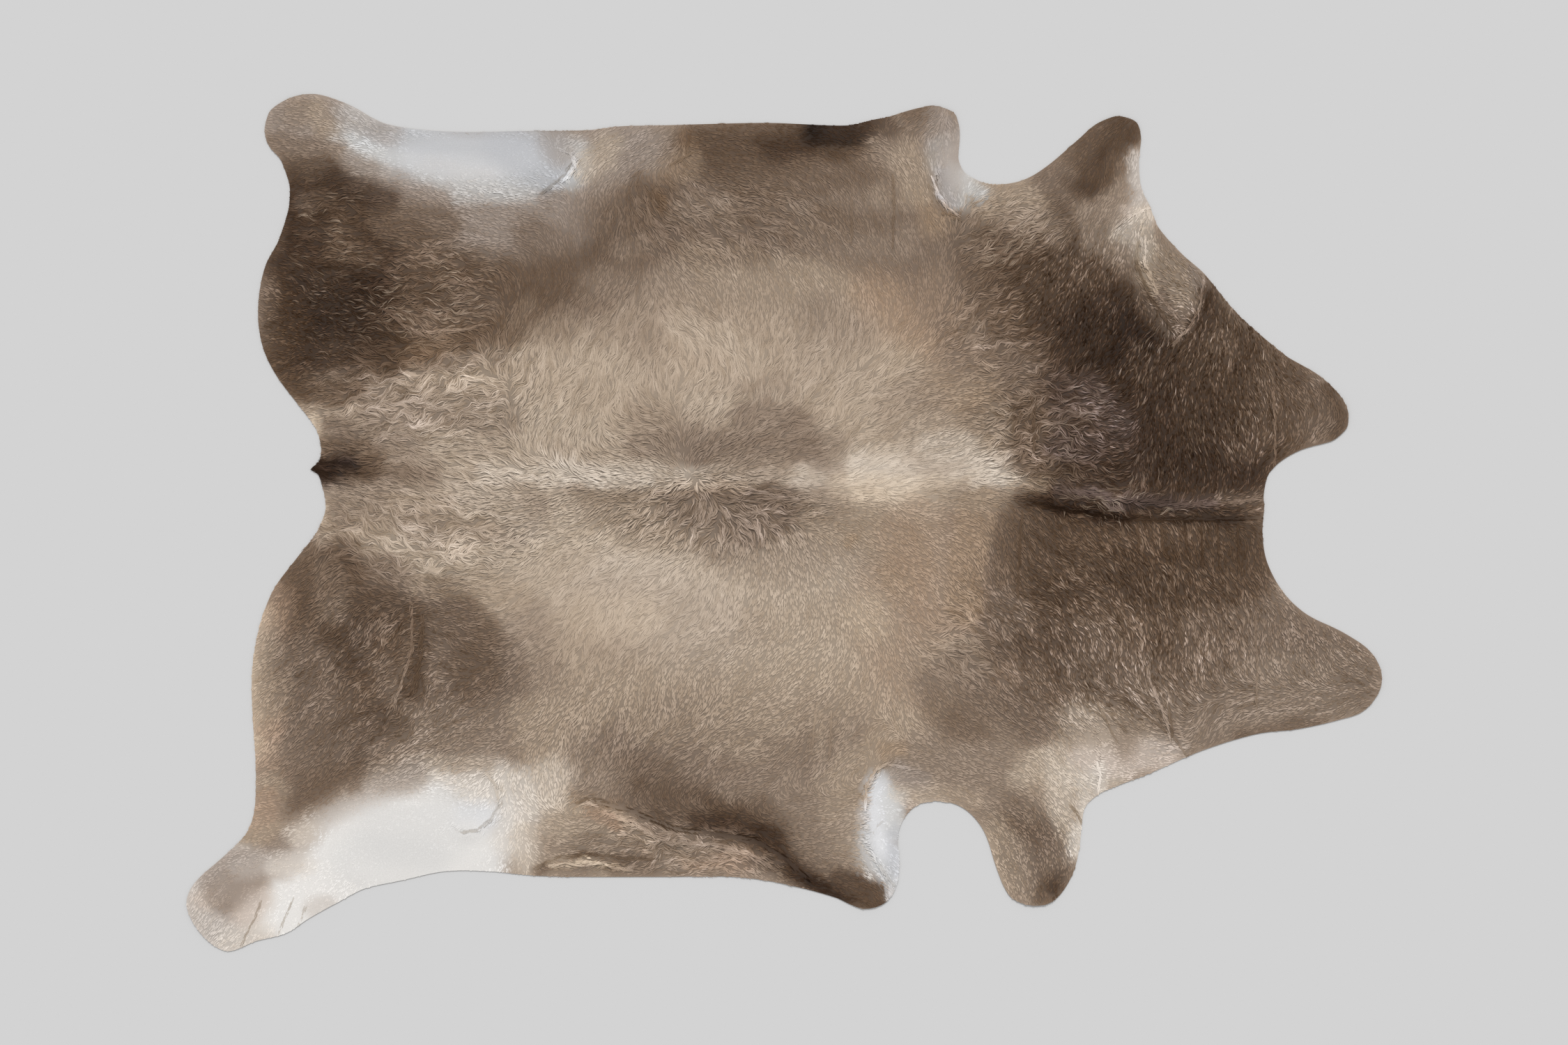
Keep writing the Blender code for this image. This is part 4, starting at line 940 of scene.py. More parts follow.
# How the hair lies: it points the way each row runs, and turns smoothly from row to row.
# Columns: x, y, run x, run y
COMB_REAR_UPPER = (
    (430, 165, -1.0, -0.1),
    (500, 175, -0.9, -0.45),
    (500, 215, -1.0, -0.1),
    (620, 205, -1.0, 0.0),
    (740, 215, -1.0, 0.0),
    (470, 250, -0.9, 0.3),
    (560, 255, -1.0, 0.0),
    (620, 255, -0.95, -0.25),
    (700, 300, -1.0, -0.05),
    (780, 290, -1.0, 0.0),
    (480, 350, -1.0, 0.05),
    (560, 360, -1.0, 0.0),
    (650, 355, -1.0, 0.0),
    (740, 335, -1.0, -0.1),
    (440, 430, -0.9, -0.3),
    (520, 440, -0.95, -0.2),
    (650, 430, -0.97, 0.2),
    (590, 470, -0.95, -0.2),
    (680, 465, -0.97, 0.1),
    (480, 500, -1.0, 0.0),
    (560, 505, -1.0, 0.1),
    (620, 505, -0.97, 0.2),
    (425, 545, -0.9, 0.3),
    (560, 535, -0.97, 0.2),
    (650, 545, -0.93, 0.33),
    (520, 575, -0.93, 0.35),
    (620, 575, -0.95, 0.3),
    (700, 570, -0.98, 0.1),
    (540, 612, -0.95, 0.2),
    (650, 612, -0.93, 0.35),
    (500, 645, -0.95, -0.3),
    (580, 650, -0.97, -0.2),
    (680, 648, -0.97, -0.2),
)
COMB_BACK_UPPER = (
    (720, 500, 0.5, -0.87),
    (760, 470, 0.4, -0.9),
    (790, 425, 0.5, -0.85),
    (800, 385, -0.4, -0.9),
    (830, 430, 0.5, -0.85),
    (830, 330, -0.15, -1.0),
    (865, 300, 0.1, -1.0),
    (865, 250, 0.7, -0.7),
    (865, 350, 0.3, -0.95),
    (850, 212, 0.95, -0.3),
    (900, 210, 0.9, -0.35),
    (935, 215, 0.9, -0.35),
    (900, 470, 0.5, -0.87),
    (860, 470, 0.5, -0.87),
    (900, 430, 0.6, -0.8),
    (790, 500, 0.1, -1.0),
    (830, 505, 0.5, -0.87),
    (900, 505, 0.3, -0.95),
    (865, 545, 0.05, -1.0),
    (760, 575, 0.7, -0.7),
    (830, 575, 0.65, -0.75),
    (790, 612, 0.6, -0.8),
    (830, 612, 0.5, -0.87),
    (810, 645, -0.15, -0.97),
    (930, 300, -0.5, -0.85),
    (965, 288, -0.8, -0.5),
    (970, 330, -0.7, -0.7),
    (1005, 320, -0.9, -0.4),
    (1100, 290, -0.95, -0.3),
    (1050, 235, -1.0, -0.12),
    (1150, 215, -1.0, -0.05),
    (1030, 215, -1.0, 0.0),
    (1190, 290, -0.75, -0.65),
    (1150, 355, -0.75, -0.65),
    (1225, 360, -0.65, -0.75),
    (1155, 400, -0.55, -0.83),
    (1260, 400, -0.65, -0.75),
    (1010, 395, -0.8, -0.5),
    (1045, 435, -0.2, -1.0),
    (1080, 465, 0.1, -1.0),
    (975, 430, -0.4, -0.9),
    (940, 470, 0.1, -1.0),
    (975, 468, -0.75, -0.6),
    (1010, 465, -0.75, -0.65),
    (1115, 465, 0.2, -1.0),
    (1155, 440, -0.45, -0.9),
    (1225, 435, -0.2, -0.97),
    (1260, 435, -0.45, -0.9),
    (1225, 470, 0.15, -1.0),
    (1260, 470, 0.2, -1.0),
    (940, 505, 0.5, -0.87),
    (1045, 505, -0.65, -0.75),
    (1080, 505, -0.2, -1.0),
    (1115, 505, 0.4, -0.92),
    (1155, 500, 0.6, -0.8),
    (1080, 545, 0.1, -1.0),
    (1150, 545, 0.35, -0.93),
    (1010, 575, 0.65, -0.75),
    (1045, 575, 0.8, -0.6),
    (1190, 575, 0.7, -0.7),
    (1260, 540, 0.8, -0.55),
)
COMB_SPINE = (
    (470, 640, -0.97, 0.15),
    (462, 672, -1.0, 0.0),
    (470, 700, -0.97, -0.2),
    (530, 672, -1.0, 0.0),
    (610, 683, -0.85, -0.5),
    (690, 683, -1.0, -0.15),
    (790, 683, -1.0, -0.2),
    (870, 683, -1.0, -0.1),
    (935, 684, -1.0, 0.0),
    (930, 612, -0.95, -0.1),
    (900, 645, -0.9, -0.35),
    (960, 650, -0.6, -0.8),
    (1010, 645, 0.75, -0.65),
    (1045, 612, 0.7, -0.7),
    (1045, 650, 0.85, -0.5),
    (1120, 612, 0.95, -0.25),
    (1120, 645, 0.95, -0.25),
    (1045, 684, 1.0, 0.0),
    (1150, 684, 1.0, 0.0),
    (1225, 645, 0.8, -0.55),
    (1300, 645, 0.95, -0.3),
    (1225, 684, 1.0, -0.1),
    (1330, 684, 1.0, -0.15),
    (1405, 645, 0.85, -0.5),
    (1440, 684, 1.0, -0.1),
    (1480, 690, 1.0, 0.1),
    (1560, 712, 1.0, 0.15),
    (1660, 725, 1.0, 0.05),
    (1770, 725, 1.0, 0.0),
)
COMB_BACK_LOWER = (
    (540, 720, -0.9, -0.3),
    (610, 720, -0.85, -0.45),
    (690, 720, -1.0, 0.0),
    (800, 722, -0.8, 0.55),
    (900, 720, -0.93, 0.35),
    (940, 715, -0.8, 0.6),
    (975, 720, -0.5, 0.85),
    (1045, 718, 0.8, 0.6),
    (1080, 722, 1.0, -0.05),
    (1190, 720, 1.0, -0.05),
    (1330, 720, 1.0, 0.05),
    (1400, 722, 0.95, 0.3),
    (540, 757, -0.85, -0.5),
    (610, 757, -0.95, -0.2),
    (690, 757, -1.0, 0.0),
    (790, 757, -0.95, 0.25),
    (865, 757, -0.6, 0.8),
    (940, 757, -0.8, 0.6),
    (1010, 757, -0.6, 0.8),
    (540, 792, -0.75, -0.65),
    (610, 792, -1.0, -0.1),
    (690, 792, -1.0, 0.0),
    (790, 792, -0.75, 0.65),
    (865, 792, -0.85, 0.45),
    (975, 792, -0.75, 0.65),
    (1045, 792, -0.2, 1.0),
    (1120, 800, 0.1, 1.0),
    (540, 828, -0.9, -0.4),
    (690, 828, -1.0, 0.0),
    (790, 828, -0.75, 0.65),
    (940, 828, -0.8, 0.6),
    (1010, 828, -0.3, 0.95),
    (690, 862, -1.0, 0.1),
    (755, 862, -0.85, 0.5),
    (830, 862, -0.65, 0.75),
    (940, 862, -0.9, 0.45),
    (1045, 862, -0.05, 1.0),
    (1120, 862, -0.1, 1.0),
    (790, 905, -0.75, 0.6),
    (865, 905, -0.3, 0.95),
    (940, 905, -0.65, 0.75),
    (1010, 905, -0.7, 0.7),
    (1080, 905, -0.65, 0.75),
    (830, 940, -0.3, 0.95),
    (900, 960, -0.5, 0.85),
    (1010, 940, -0.85, 0.5),
    (940, 1000, 0.0, 1.0),
    (1010, 975, -0.1, 1.0),
    (1150, 880, -0.1, 1.0),
    (1155, 935, -0.55, 0.83),
    (1225, 865, 0.4, 0.9),
    (1190, 820, 0.4, 0.9),
    (1260, 792, 0.85, 0.55),
    (1260, 828, 0.85, 0.5),
    (1260, 865, 0.7, 0.7),
    (1295, 760, 0.65, 0.75),
    (1330, 792, 0.75, 0.65),
    (1330, 865, 0.5, 0.85),
    (1260, 920, 0.25, 0.97),
    (1225, 970, -0.35, 0.93),
    (1225, 1010, -0.6, 0.8),
    (1155, 1005, -0.8, 0.6),
    (1080, 1040, -0.85, 0.5),
)
COMB_REAR_LOWER = (
    (460, 820, -0.6, 0.7),
    (540, 900, -0.6, 0.75),
    (660, 930, -0.8, -0.4),
    (390, 900, -0.6, 0.75),
    (385, 960, -0.75, 0.6),
    (480, 960, -0.7, 0.7),
    (600, 1000, -0.6, 0.7),
    (700, 990, -0.7, 0.6),
    (390, 1040, -0.6, 0.75),
    (460, 1050, -0.6, 0.78),
    (560, 1090, -0.75, 0.5),
    (440, 1110, -0.65, 0.75),
    (400, 1160, -1.0, 0.1),
    (640, 1080, -0.8, 0.55),
    (700, 1080, -0.97, 0.25),
    (760, 1040, -0.75, 0.65),
    (830, 1010, -0.5, 0.87),
    (830, 1080, -0.3, 0.95),
    (760, 1115, 0.0, 1.0),
    (793, 1115, 0.05, 1.0),
    (560, 1150, -0.9, 0.4),
    (480, 1185, -0.75, 0.6),
    (640, 1150, -0.9, -0.1),
    (685, 1150, -0.55, 0.83),
    (680, 1188, -0.75, 0.65),
    (720, 1188, -0.4, 0.9),
    (755, 1150, 0.75, 0.6),
    (790, 1190, 0.95, 0.2),
    (350, 1222, -0.93, 0.3),
    (430, 1222, -0.85, 0.5),
    (505, 1222, -0.65, 0.75),
    (575, 1222, -0.4, 0.9),
    (640, 1222, -0.55, 0.83),
    (700, 1225, -0.3, 0.95),
    (320, 1262, -0.85, 0.5),
    (400, 1258, -0.85, 0.5),
    (470, 1260, -0.65, 0.75),
    (290, 1300, -0.4, 0.9),
    (325, 1330, -0.6, 0.8),
    (362, 1310, -0.6, 0.8),
    (395, 1330, -0.5, 0.87),
)
COMB_FLANK_LOWER = (
    (900, 1085, -0.45, 0.9),
    (900, 1112, -0.65, 0.75),
    (970, 1080, -0.85, 0.5),
    (1010, 1115, -0.65, 0.75),
    (1080, 1080, -0.9, 0.45),
    (1080, 1120, -0.95, 0.3),
    (1190, 1080, -0.65, 0.75),
    (1190, 1115, -0.75, 0.65),
    (1225, 1080, -0.75, 0.65),
    (860, 1185, 0.85, -0.5),
    (830, 1148, -0.9, 0.35),
    (830, 1190, 0.97, -0.2),
    (860, 1222, 1.0, -0.15),
    (930, 1190, 0.9, 0.4),
    (975, 1190, 0.9, 0.4),
    (940, 1222, 0.85, -0.4),
    (1040, 1188, 1.0, 0.1),
    (1000, 1232, 0.95, -0.1),
    (1070, 1225, 0.8, 0.6),
    (1120, 1222, 0.85, 0.5),
    (1155, 1225, 0.97, 0.2),
    (1155, 1262, 0.93, 0.35),
    (1220, 1270, 0.95, 0.3),
    (1150, 1170, 0.97, -0.2),
    (1200, 1150, 0.95, -0.2),
    (1190, 1190, 0.97, -0.1),
    (1225, 1190, 0.9, -0.3),
    (1225, 1230, 0.9, 0.3),
    (1262, 1112, 0.5, -0.85),
    (1262, 1060, 0.5, -0.87),
    (1268, 1225, 0.55, 0.83),
    (1262, 1258, 0.6, 0.8),
    (1300, 1115, 1.0, 0.05),
    (1330, 1118, 0.95, 0.25),
    (1260, 1165, 0.6, 0.1),
)
COMB_NECK_LOWER = (
    (1295, 1035, 0.1, 1.0),
    (1330, 1040, 0.75, 0.65),
    (1330, 1005, 0.5, 0.85),
    (1370, 970, 0.75, 0.65),
    (1370, 1080, 0.75, 0.65),
    (1365, 900, 1.0, -0.1),
    (1405, 940, 0.8, 0.3),
    (1405, 865, 0.7, 0.7),
    (1405, 1000, 0.75, 0.65),
    (1405, 1085, 0.93, 0.35),
    (1440, 1085, 0.95, 0.3),
    (1440, 755, 0.25, 1.0),
    (1440, 820, 0.25, 1.0),
    (1440, 900, 0.5, 0.87),
    (1440, 970, 0.55, 0.83),
    (1480, 790, 0.5, 0.87),
    (1480, 865, 0.85, 0.55),
    (1480, 935, 0.45, 0.9),
    (1480, 1040, 0.75, 0.65),
    (1515, 760, 0.5, 0.85),
    (1515, 828, 0.8, 0.6),
    (1515, 1000, 0.5, 0.87),
    (1550, 795, 0.75, 0.65),
    (1550, 870, 0.65, 0.75),
    (1550, 950, 0.25, 0.97),
    (1585, 760, 0.65, 0.75),
    (1585, 830, 0.7, 0.7),
    (1585, 1040, 0.8, 0.6),
    (1620, 800, 0.4, 0.9),
    (1620, 865, 0.35, 0.93),
    (1620, 940, 0.05, 1.0),
    (1620, 1010, 0.8, 0.6),
    (1655, 760, 0.3, 0.95),
    (1655, 830, 0.25, 0.97),
    (1655, 1005, 0.8, 0.6),
    (1655, 970, 0.25, 0.97),
    (1690, 800, 0.3, 0.95),
    (1690, 940, -0.05, 1.0),
    (1690, 1000, 0.4, 0.9),
    (1730, 770, 0.0, 1.0),
    (1730, 860, 0.5, 0.85),
    (1730, 930, 0.1, 1.0),
    (1730, 1040, 0.4, -0.9),
    (1800, 800, 0.15, 1.0),
    (1800, 900, 0.05, 1.0),
    (1835, 860, 0.6, 0.8),
    (1835, 940, 0.05, 1.0),
    (1780, 1030, 0.9, -0.35),
    (1860, 1012, 0.95, -0.2),
    (1880, 950, 0.3, 0.95),
    (1945, 960, 0.75, 0.6),
    (1930, 1005, 0.9, -0.35),
    (1660, 1080, 1.0, 0.0),
    (1620, 1080, 0.8, 0.45),
    (1590, 1110, 0.8, -0.1),
    (1550, 1085, 0.7, 0.7),
    (1510, 1080, 0.6, 0.8),
    (1550, 1115, 0.75, 0.6),
    (1550, 1150, 0.65, 0.75),
    (1515, 1150, 0.4, 0.9),
    (1480, 1115, 0.75, 0.6),
    (1440, 1115, 0.95, 0.3),
    (1405, 1150, 0.85, 0.5),
    (1440, 1150, 0.9, 0.4),
    (1440, 1190, 0.6, 0.75),
    (1510, 1190, 0.55, 0.83),
    (1548, 1225, 0.35, 0.93),
    (1440, 1225, 0.4, 0.9),
    (1440, 1260, 0.45, 0.87),
    (1480, 1230, 0.2, 0.95),
    (1515, 1260, -0.5, 0.85),
    (1480, 1285, 0.1, 1.0),
)
COMB_NECK_UPPER = (
    (1225, 290, -0.25, -0.97),
    (1262, 250, -0.7, -0.7),
    (1250, 212, -1.0, 0.0),
    (1300, 250, -0.6, -0.7),
    (1295, 290, -0.3, -0.95),
    (1260, 325, -0.4, -0.9),
    (1335, 290, -0.5, -0.85),
    (1335, 330, -0.45, -0.9),
    (1295, 400, -0.5, -0.83),
    (1335, 400, -0.2, -1.0),
    (1335, 435, -0.2, -1.0),
    (1300, 182, 0.93, -0.35),
    (1335, 182, 0.95, -0.2),
    (1300, 215, -0.5, -0.4),
    (1367, 182, -0.5, -0.87),
    (1367, 215, 0.1, -1.0),
    (1367, 250, 0.0, -1.0),
    (1367, 290, -0.6, -0.75),
    (1300, 468, 0.65, -0.75),
    (1370, 465, 0.85, -0.5),
    (1405, 465, 0.8, -0.55),
    (1335, 505, 0.55, -0.8),
    (1370, 505, 0.9, -0.35),
    (1440, 465, 0.97, -0.1),
    (1440, 500, 1.0, -0.1),
    (1335, 540, 1.0, 0.1),
    (1405, 540, 1.0, 0.1),
    (1405, 577, 1.0, 0.0),
    (1405, 612, 1.0, 0.0),
    (1330, 612, 0.95, -0.3),
    (1400, 290, 0.97, -0.2),
    (1480, 287, 1.0, -0.05),
    (1440, 325, 0.95, -0.25),
    (1510, 325, 0.9, -0.3),
    (1405, 357, 0.98, -0.15),
    (1475, 357, 0.85, -0.5),
    (1405, 395, 0.8, -0.5),
    (1510, 400, 0.4, -0.92),
    (1440, 430, 0.9, -0.3),
    (1510, 430, 0.4, -0.92),
    (1550, 360, 0.2, -1.0),
    (1585, 360, 0.3, -0.95),
    (1585, 395, 0.4, -0.9),
    (1585, 430, 0.3, -0.95),
    (1585, 470, 0.2, -1.0),
    (1550, 500, 0.2, -1.0),
    (1620, 320, 0.8, -0.6),
    (1600, 250, -0.1, -1.0),
    (1625, 250, 0.15, -1.0),
    (1622, 215, 0.1, -1.0),
    (1590, 182, 0.93, -0.35),
    (1550, 215, 0.75, -0.65),
    (1515, 252, 0.8, -0.6),
    (1620, 285, 0.45, -0.87),
    (1656, 325, -0.15, -1.0),
    (1655, 360, -0.5, -0.85),
    (1690, 395, -0.85, -0.5),
    (1655, 397, -0.93, -0.35),
    (1655, 432, -1.0, 0.0),
    (1690, 432, -1.0, 0.1),
    (1690, 465, -0.8, 0.55),
    (1620, 432, 0.65, -0.75),
    (1620, 468, 0.55, -0.8),
    (1655, 468, 0.6, -0.75),
    (1620, 505, 0.45, -0.87),
    (1655, 510, 0.3, -0.95),
    (1690, 510, 0.5, -0.87),
    (1730, 470, 0.45, -0.87),
    (1730, 432, 0.05, -1.0),
    (1765, 470, -0.35, -0.93),
    (1765, 505, 0.05, -1.0),
    (1730, 540, 0.15, -1.0),
    (1655, 545, 0.15, -1.0),
    (1620, 540, 0.35, -0.93),
    (1690, 580, 0.0, -1.0),
    (1765, 580, -0.25, -0.97),
    (1730, 645, -0.25, -0.97),
    (1655, 640, -0.05, -1.0),
    (1765, 645, -0.4, -0.9),
    (1695, 690, -0.05, -1.0),
    (1655, 690, -0.2, -1.0),
    (1765, 690, -0.1, -1.0),
    (1800, 580, -0.25, -0.97),
    (1835, 545, -0.5, -0.87),
    (1835, 612, -0.1, -1.0),
    (1870, 545, -0.8, -0.5),
    (1870, 580, -0.5, -0.87),
    (1905, 580, -0.5, -0.87),
    (1905, 612, 0.7, -0.7),
    (1835, 648, 0.75, -0.65),
    (1550, 577, 0.9, 0.2),
    (1480, 577, 1.0, 0.05),
    (1585, 577, 0.95, 0.25),
    (1550, 612, 0.9, 0.35),
    (1480, 640, 0.7, -0.5),
    (1550, 648, 0.85, 0.45),
    (1600, 648, 0.95, 0.0),
    (1545, 685, 0.93, 0.3),
)
COMB = (
    COMB_REAR_UPPER + COMB_BACK_UPPER + COMB_SPINE + COMB_BACK_LOWER
    + COMB_REAR_LOWER + COMB_FLANK_LOWER + COMB_NECK_LOWER + COMB_NECK_UPPER
)

# How far a row's own lie reaches before it blends with its neighbours'
COMB_REACH = 24.0

# The coat between the zones is short and nearly straight; each zone lies over the ones before it.
# Columns: name, x, y, half length along x and y, hair length, curl, contrast, share of flecks, their paleness
BASE_ZONE = (12.0, 0.20, 0.12, 0.0, 0.0)
ZONE_LENGTH, ZONE_CURL, ZONE_CONTRAST, ZONE_FLECKS, ZONE_PALE = range(5)
ZONE_FULL = 1.6
ZONES = (
    ("upper back waves", 620, 555, 210, 110, 44.0, 0.9, 0.38, 0.1, 0.1),
    ("middle back", 900, 540, 240, 150, 38.0, 0.50, 0.11, 0.0, 0.2),
    ("fore back", 1160, 560, 230, 140, 34.0, 0.50, 0.11, 0.0, 0.2),
    ("lower back waves", 600, 775, 210, 90, 42.0, 0.9, 0.28, 0.1, 0.1),
    ("lower back", 880, 860, 260, 130, 30.0, 0.35, 0.07, 0.0, 0.0),
    ("whorl side", 1030, 735, 190, 70, 30.0, 0.7, 0.33, 0.0, 0.1),
    ("loin", 700, 670, 260, 60, 32.0, 0.40, 0.14, 0.0, 0.1),
    ("spine", 1250, 680, 260, 50, 32.0, 0.25, 0.07, 0.0, 0.0),
    ("tail tuft", 475, 668, 70, 45, 28.0, 0.40, 0.24, 0.0, 0.2),
    ("shoulder curls", 1525, 610, 150, 130, 26.0, 1.10, 0.60, 0.5, 0.15),
    ("upper shoulder", 1430, 470, 110, 90, 26.0, 0.80, 0.34, 0.3, 0.15),
    ("chest flecks", 1440, 345, 110, 80, 24.0, 0.6, 0.26, 0.6, 0.35),
    ("dark rump", 465, 460, 120, 120, 8.0, 0.50, 0.55, 0.3, 0.12),
    ("upper rump", 620, 420, 150, 120, 18.0, 0.6, 0.30, 0.4, 0.35),
    ("rump locks", 480, 330, 90, 90, 18.0, 0.50, 0.26, 0.5, 0.35),
    ("upper flank", 1040, 320, 240, 90, 18.0, 0.45, 0.20, 0.2, 0.15),
    ("lower flank", 950, 1050, 320, 90, 14.0, 0.30, 0.15, 0.2, 0.2),
    ("lower rump", 560, 970, 210, 170, 11.0, 0.45, 0.40, 0.2, 0.1),
    ("shoulder fringe", 1380, 920, 90, 90, 24.0, 0.60, 0.14, 0.1, 0.2),
    ("neck", 1710, 580, 240, 260, 11.0, 0.25, 1.0, 0.3, 0.12),
    ("withers", 1600, 725, 170, 40, 22.0, 0.80, 0.40, 0.5, 0.3),
    ("lower neck", 1620, 900, 290, 210, 13.0, 0.30, 0.85, 0.3, 0.1),
    ("neck tips", 1900, 960, 140, 120, 9.0, 0.20, 0.34, 0.1, 0.1),
    ("shanks", 1480, 1230, 100, 100, 8.0, 0.15, 0.24, 0.0, 0.0),
    ("belly flap", 980, 1215, 200, 60, 20.0, 0.70, 0.36, 0.4, 0.2),
    ("upper neck side", 1540, 430, 140, 130, 11.0, 0.25, 1.0, 0.3, 0.05),
    ("lower white", 580, 1205, 270, 125, 9.0, 0.1, 0.015, 0.0, 0.0),
    ("lower white hock", 400, 1290, 150, 100, 9.0, 0.1, 0.03, 0.0, 0.0),
    ("upper white", 680, 225, 220, 60, 10.0, 0.12, 0.02, 0.0, 0.0),
    ("upper armpit white", 1375, 240, 40, 60, 9.0, 0.10, 0.03, 0.0, 0.0),
    ("lower armpit white", 1268, 1180, 44, 100, 9.0, 0.10, 0.03, 0.0, 0.0),
    ("elbow white", 1590, 1070, 110, 60, 9.0, 0.15, 0.08, 0.0, 0.0),
    ("upper elbow white", 1630, 285, 40, 70, 9.0, 0.15, 0.08, 0.0, 0.0),
    ("shoulder fold", 1640, 372, 60, 80, 10.0, 0.20, 0.26, 0.0, 0.0),
)

# Creases in the lie of the coat; a depth below 0 is a ridge. Each lowers the coat's top, and its hair is
# painted darker as shade in a crease and lighter as highlight on a ridge.
# Columns: name, depth, half width, path
CREASES = (
    (
        "belly flap", 3.2, 5.0,
        ((850, 1151), (904, 1163), (974, 1192), (1024, 1196), (1082, 1205), (1124, 1231), (1157, 1260)),
    ),
    (
        "belly flap ridge", -0.8, 6.0,
        ((866, 1166), (906, 1180), (958, 1208), (1020, 1212), (1070, 1224), (1104, 1242)),
    ),
    ("belly hem", 1.4, 4.0, ((766, 1248), (800, 1231), (846, 1227), (890, 1231), (930, 1234))),
    (
        "belly hem ridge", -0.7, 3.0,
        ((786, 1244), (812, 1239), (838, 1243), (862, 1238), (884, 1246), (902, 1250)),
    ),
    ("navel", -1.6, 4.0, ((832, 1157), (842, 1153), (852, 1156))),
    ("navel rim", 1.6, 4.0, ((824, 1155), (836, 1148), (856, 1148), (874, 1155))),
    ("udder", 1.0, 3.5, ((660, 1195), (684, 1192), (704, 1177), (716, 1158))),
    ("udder, front", 0.8, 3.0, ((698, 1108), (708, 1122), (714, 1140))),
    ("upper udder", 1.4, 4.0, ((774, 280), (800, 262), (816, 243))),
    ("upper udder rim", -0.5, 4.0, ((800, 212), (822, 225), (825, 240), (814, 256))),
    ("upper armpit", 1.2, 4.0, ((1331, 256), (1337, 284), (1350, 303), (1368, 312))),
    ("upper armpit rim", -1.4, 3.0, ((1336, 250), (1343, 276), (1357, 298), (1368, 305))),
    ("lower armpit", 0.7, 4.0, ((1250, 1204), (1256, 1190), (1264, 1182))),
    ("lower armpit rim", -0.8, 3.5, ((1240, 1165), (1243, 1130), (1256, 1106), (1272, 1096), (1300, 1102))),
    ("lower armpit foot", 0.6, 3.0, ((1262, 1240), (1272, 1258), (1284, 1272))),
    ("shoulder pleat", 1.8, 4.0, ((1735, 398), (1731, 440), (1716, 474), (1692, 500))),
    ("shoulder pleat ridge", -1.2, 3.0, ((1727, 396), (1722, 440), (1708, 470), (1686, 492))),
    ("shoulder fold", 1.8, 5.0, ((1632, 345), (1630, 380), (1648, 425), (1680, 472))),
    ("shoulder fold ridge", -0.4, 5.0, ((1644, 340), (1642, 380), (1660, 420), (1688, 456))),
    ("shoulder corner", -0.5, 3.0, ((1596, 330), (1620, 312), (1650, 299))),
    ("brisket notch", 1.8, 3.0, ((1676, 1012), (1681, 1054), (1702, 1084))),
    ("brisket line", -0.9, 2.5, ((1646, 968), (1660, 1004), (1672, 1032), (1677, 1056))),
    ("brisket, first", 1.4, 2.5, ((1600, 996), (1636, 1020), (1668, 1046))),
    ("brisket, second", 1.2, 2.5, ((1586, 1020), (1612, 1046))),
    ("brisket, third", 1.2, 2.5, ((1612, 978), (1650, 1006), (1664, 1030))),
    ("brisket, fourth", 1.2, 2.5, ((1572, 1004), (1590, 1040), (1600, 1062))),
    ("elbow", -0.5, 3.0, ((1572, 1092), (1578, 1112), (1576, 1136))),
    ("shank edge", 1.8, 3.0, ((1532, 1154), (1542, 1164), (1552, 1181))),
    ("withers edge", 2.2, 6.0, ((1474, 722), (1540, 734), (1620, 746), (1700, 747), (1808, 744))),
    ("withers crest", -0.8, 6.0, ((1530, 704), (1600, 716), (1680, 724), (1760, 722), (1806, 718))),
    ("flank, first", 1.2, 3.0, ((1281, 250), (1283, 300), (1281, 352))),
    ("flank, second", 0.8, 3.0, ((1222, 280), (1221, 338))),
    ("flank, third", 0.5, 3.0, ((1172, 1010), (1166, 1066))),
    ("flank, fourth", 0.5, 3.0, ((1193, 1020), (1190, 1080))),
    ("neck, first", 1.0, 3.0, ((1467, 730), (1463, 790), (1460, 850))),
    ("neck, second", 1.2, 2.5, ((1723, 752), (1725, 806))),
    ("neck, third", 1.2, 2.5, ((1775, 750), (1777, 812))),
    ("neck, fourth", -0.8, 2.5, ((1826, 560), (1829, 610), (1829, 665))),
    ("neck, fifth", 1.0, 3.0, ((1480, 560), (1483, 640))),
    ("neck, sixth", 1.2, 2.5, ((1631, 750), (1634, 784))),
    ("neck, seventh", 1.2, 2.5, ((1665, 752), (1669, 788))),
    ("neck, eighth", 1.2, 2.5, ((1700, 750), (1702, 778))),
    ("neck, ninth", 1.0, 2.5, ((1746, 750), (1748, 790))),
    ("neck, tenth", 0.8, 2.5, ((1678, 820), (1690, 870), (1694, 920))),
    ("neck, eleventh", 0.8, 2.5, ((1800, 880), (1804, 960), (1802, 1010))),
    ("thigh ridge", -0.9, 4.0, ((592, 868), (592, 930), (580, 972), (566, 1014))),
    ("thigh", 0.8, 6.0, ((606, 880), (605, 940), (594, 990))),
    (
        "rump wave", -1.6, 2.5,
        ((545, 440), (560, 452), (575, 464), (600, 477), (640, 476), (668, 474), (690, 468)),
    ),
    ("hind leg, first", 1.6, 2.5, ((376, 1290), (366, 1318), (350, 1350))),
    ("hind leg, second", 1.4, 2.5, ((422, 1288), (412, 1312), (402, 1336))),
    ("hind leg, third", 1.2, 2.5, ((440, 1298), (430, 1326))),
    ("loin fold", 0.8, 3.0, ((960, 240), (984, 226), (988, 204))),
)


def to_trace(points):
    """Millimetres from the hide's middle as steps of the trace."""
    return points / (TRACE_STEP, -TRACE_STEP) + TRACE_MIDDLE


def to_hide(rows):
    """Steps of the trace as millimetres from the hide's middle."""
    return (np.array(rows, float) - TRACE_MIDDLE) * (TRACE_STEP, -TRACE_STEP)


def soft(distance):
    """1 at 0 and 0 from 1 on, level at both."""
    return np.cos(np.clip(distance, 0, 1) * np.pi) / 2 + 0.5


def unit(vectors):
    """The vectors at length 1, along their last axis."""
    return vectors / np.linalg.norm(vectors, axis=-1)[..., None]


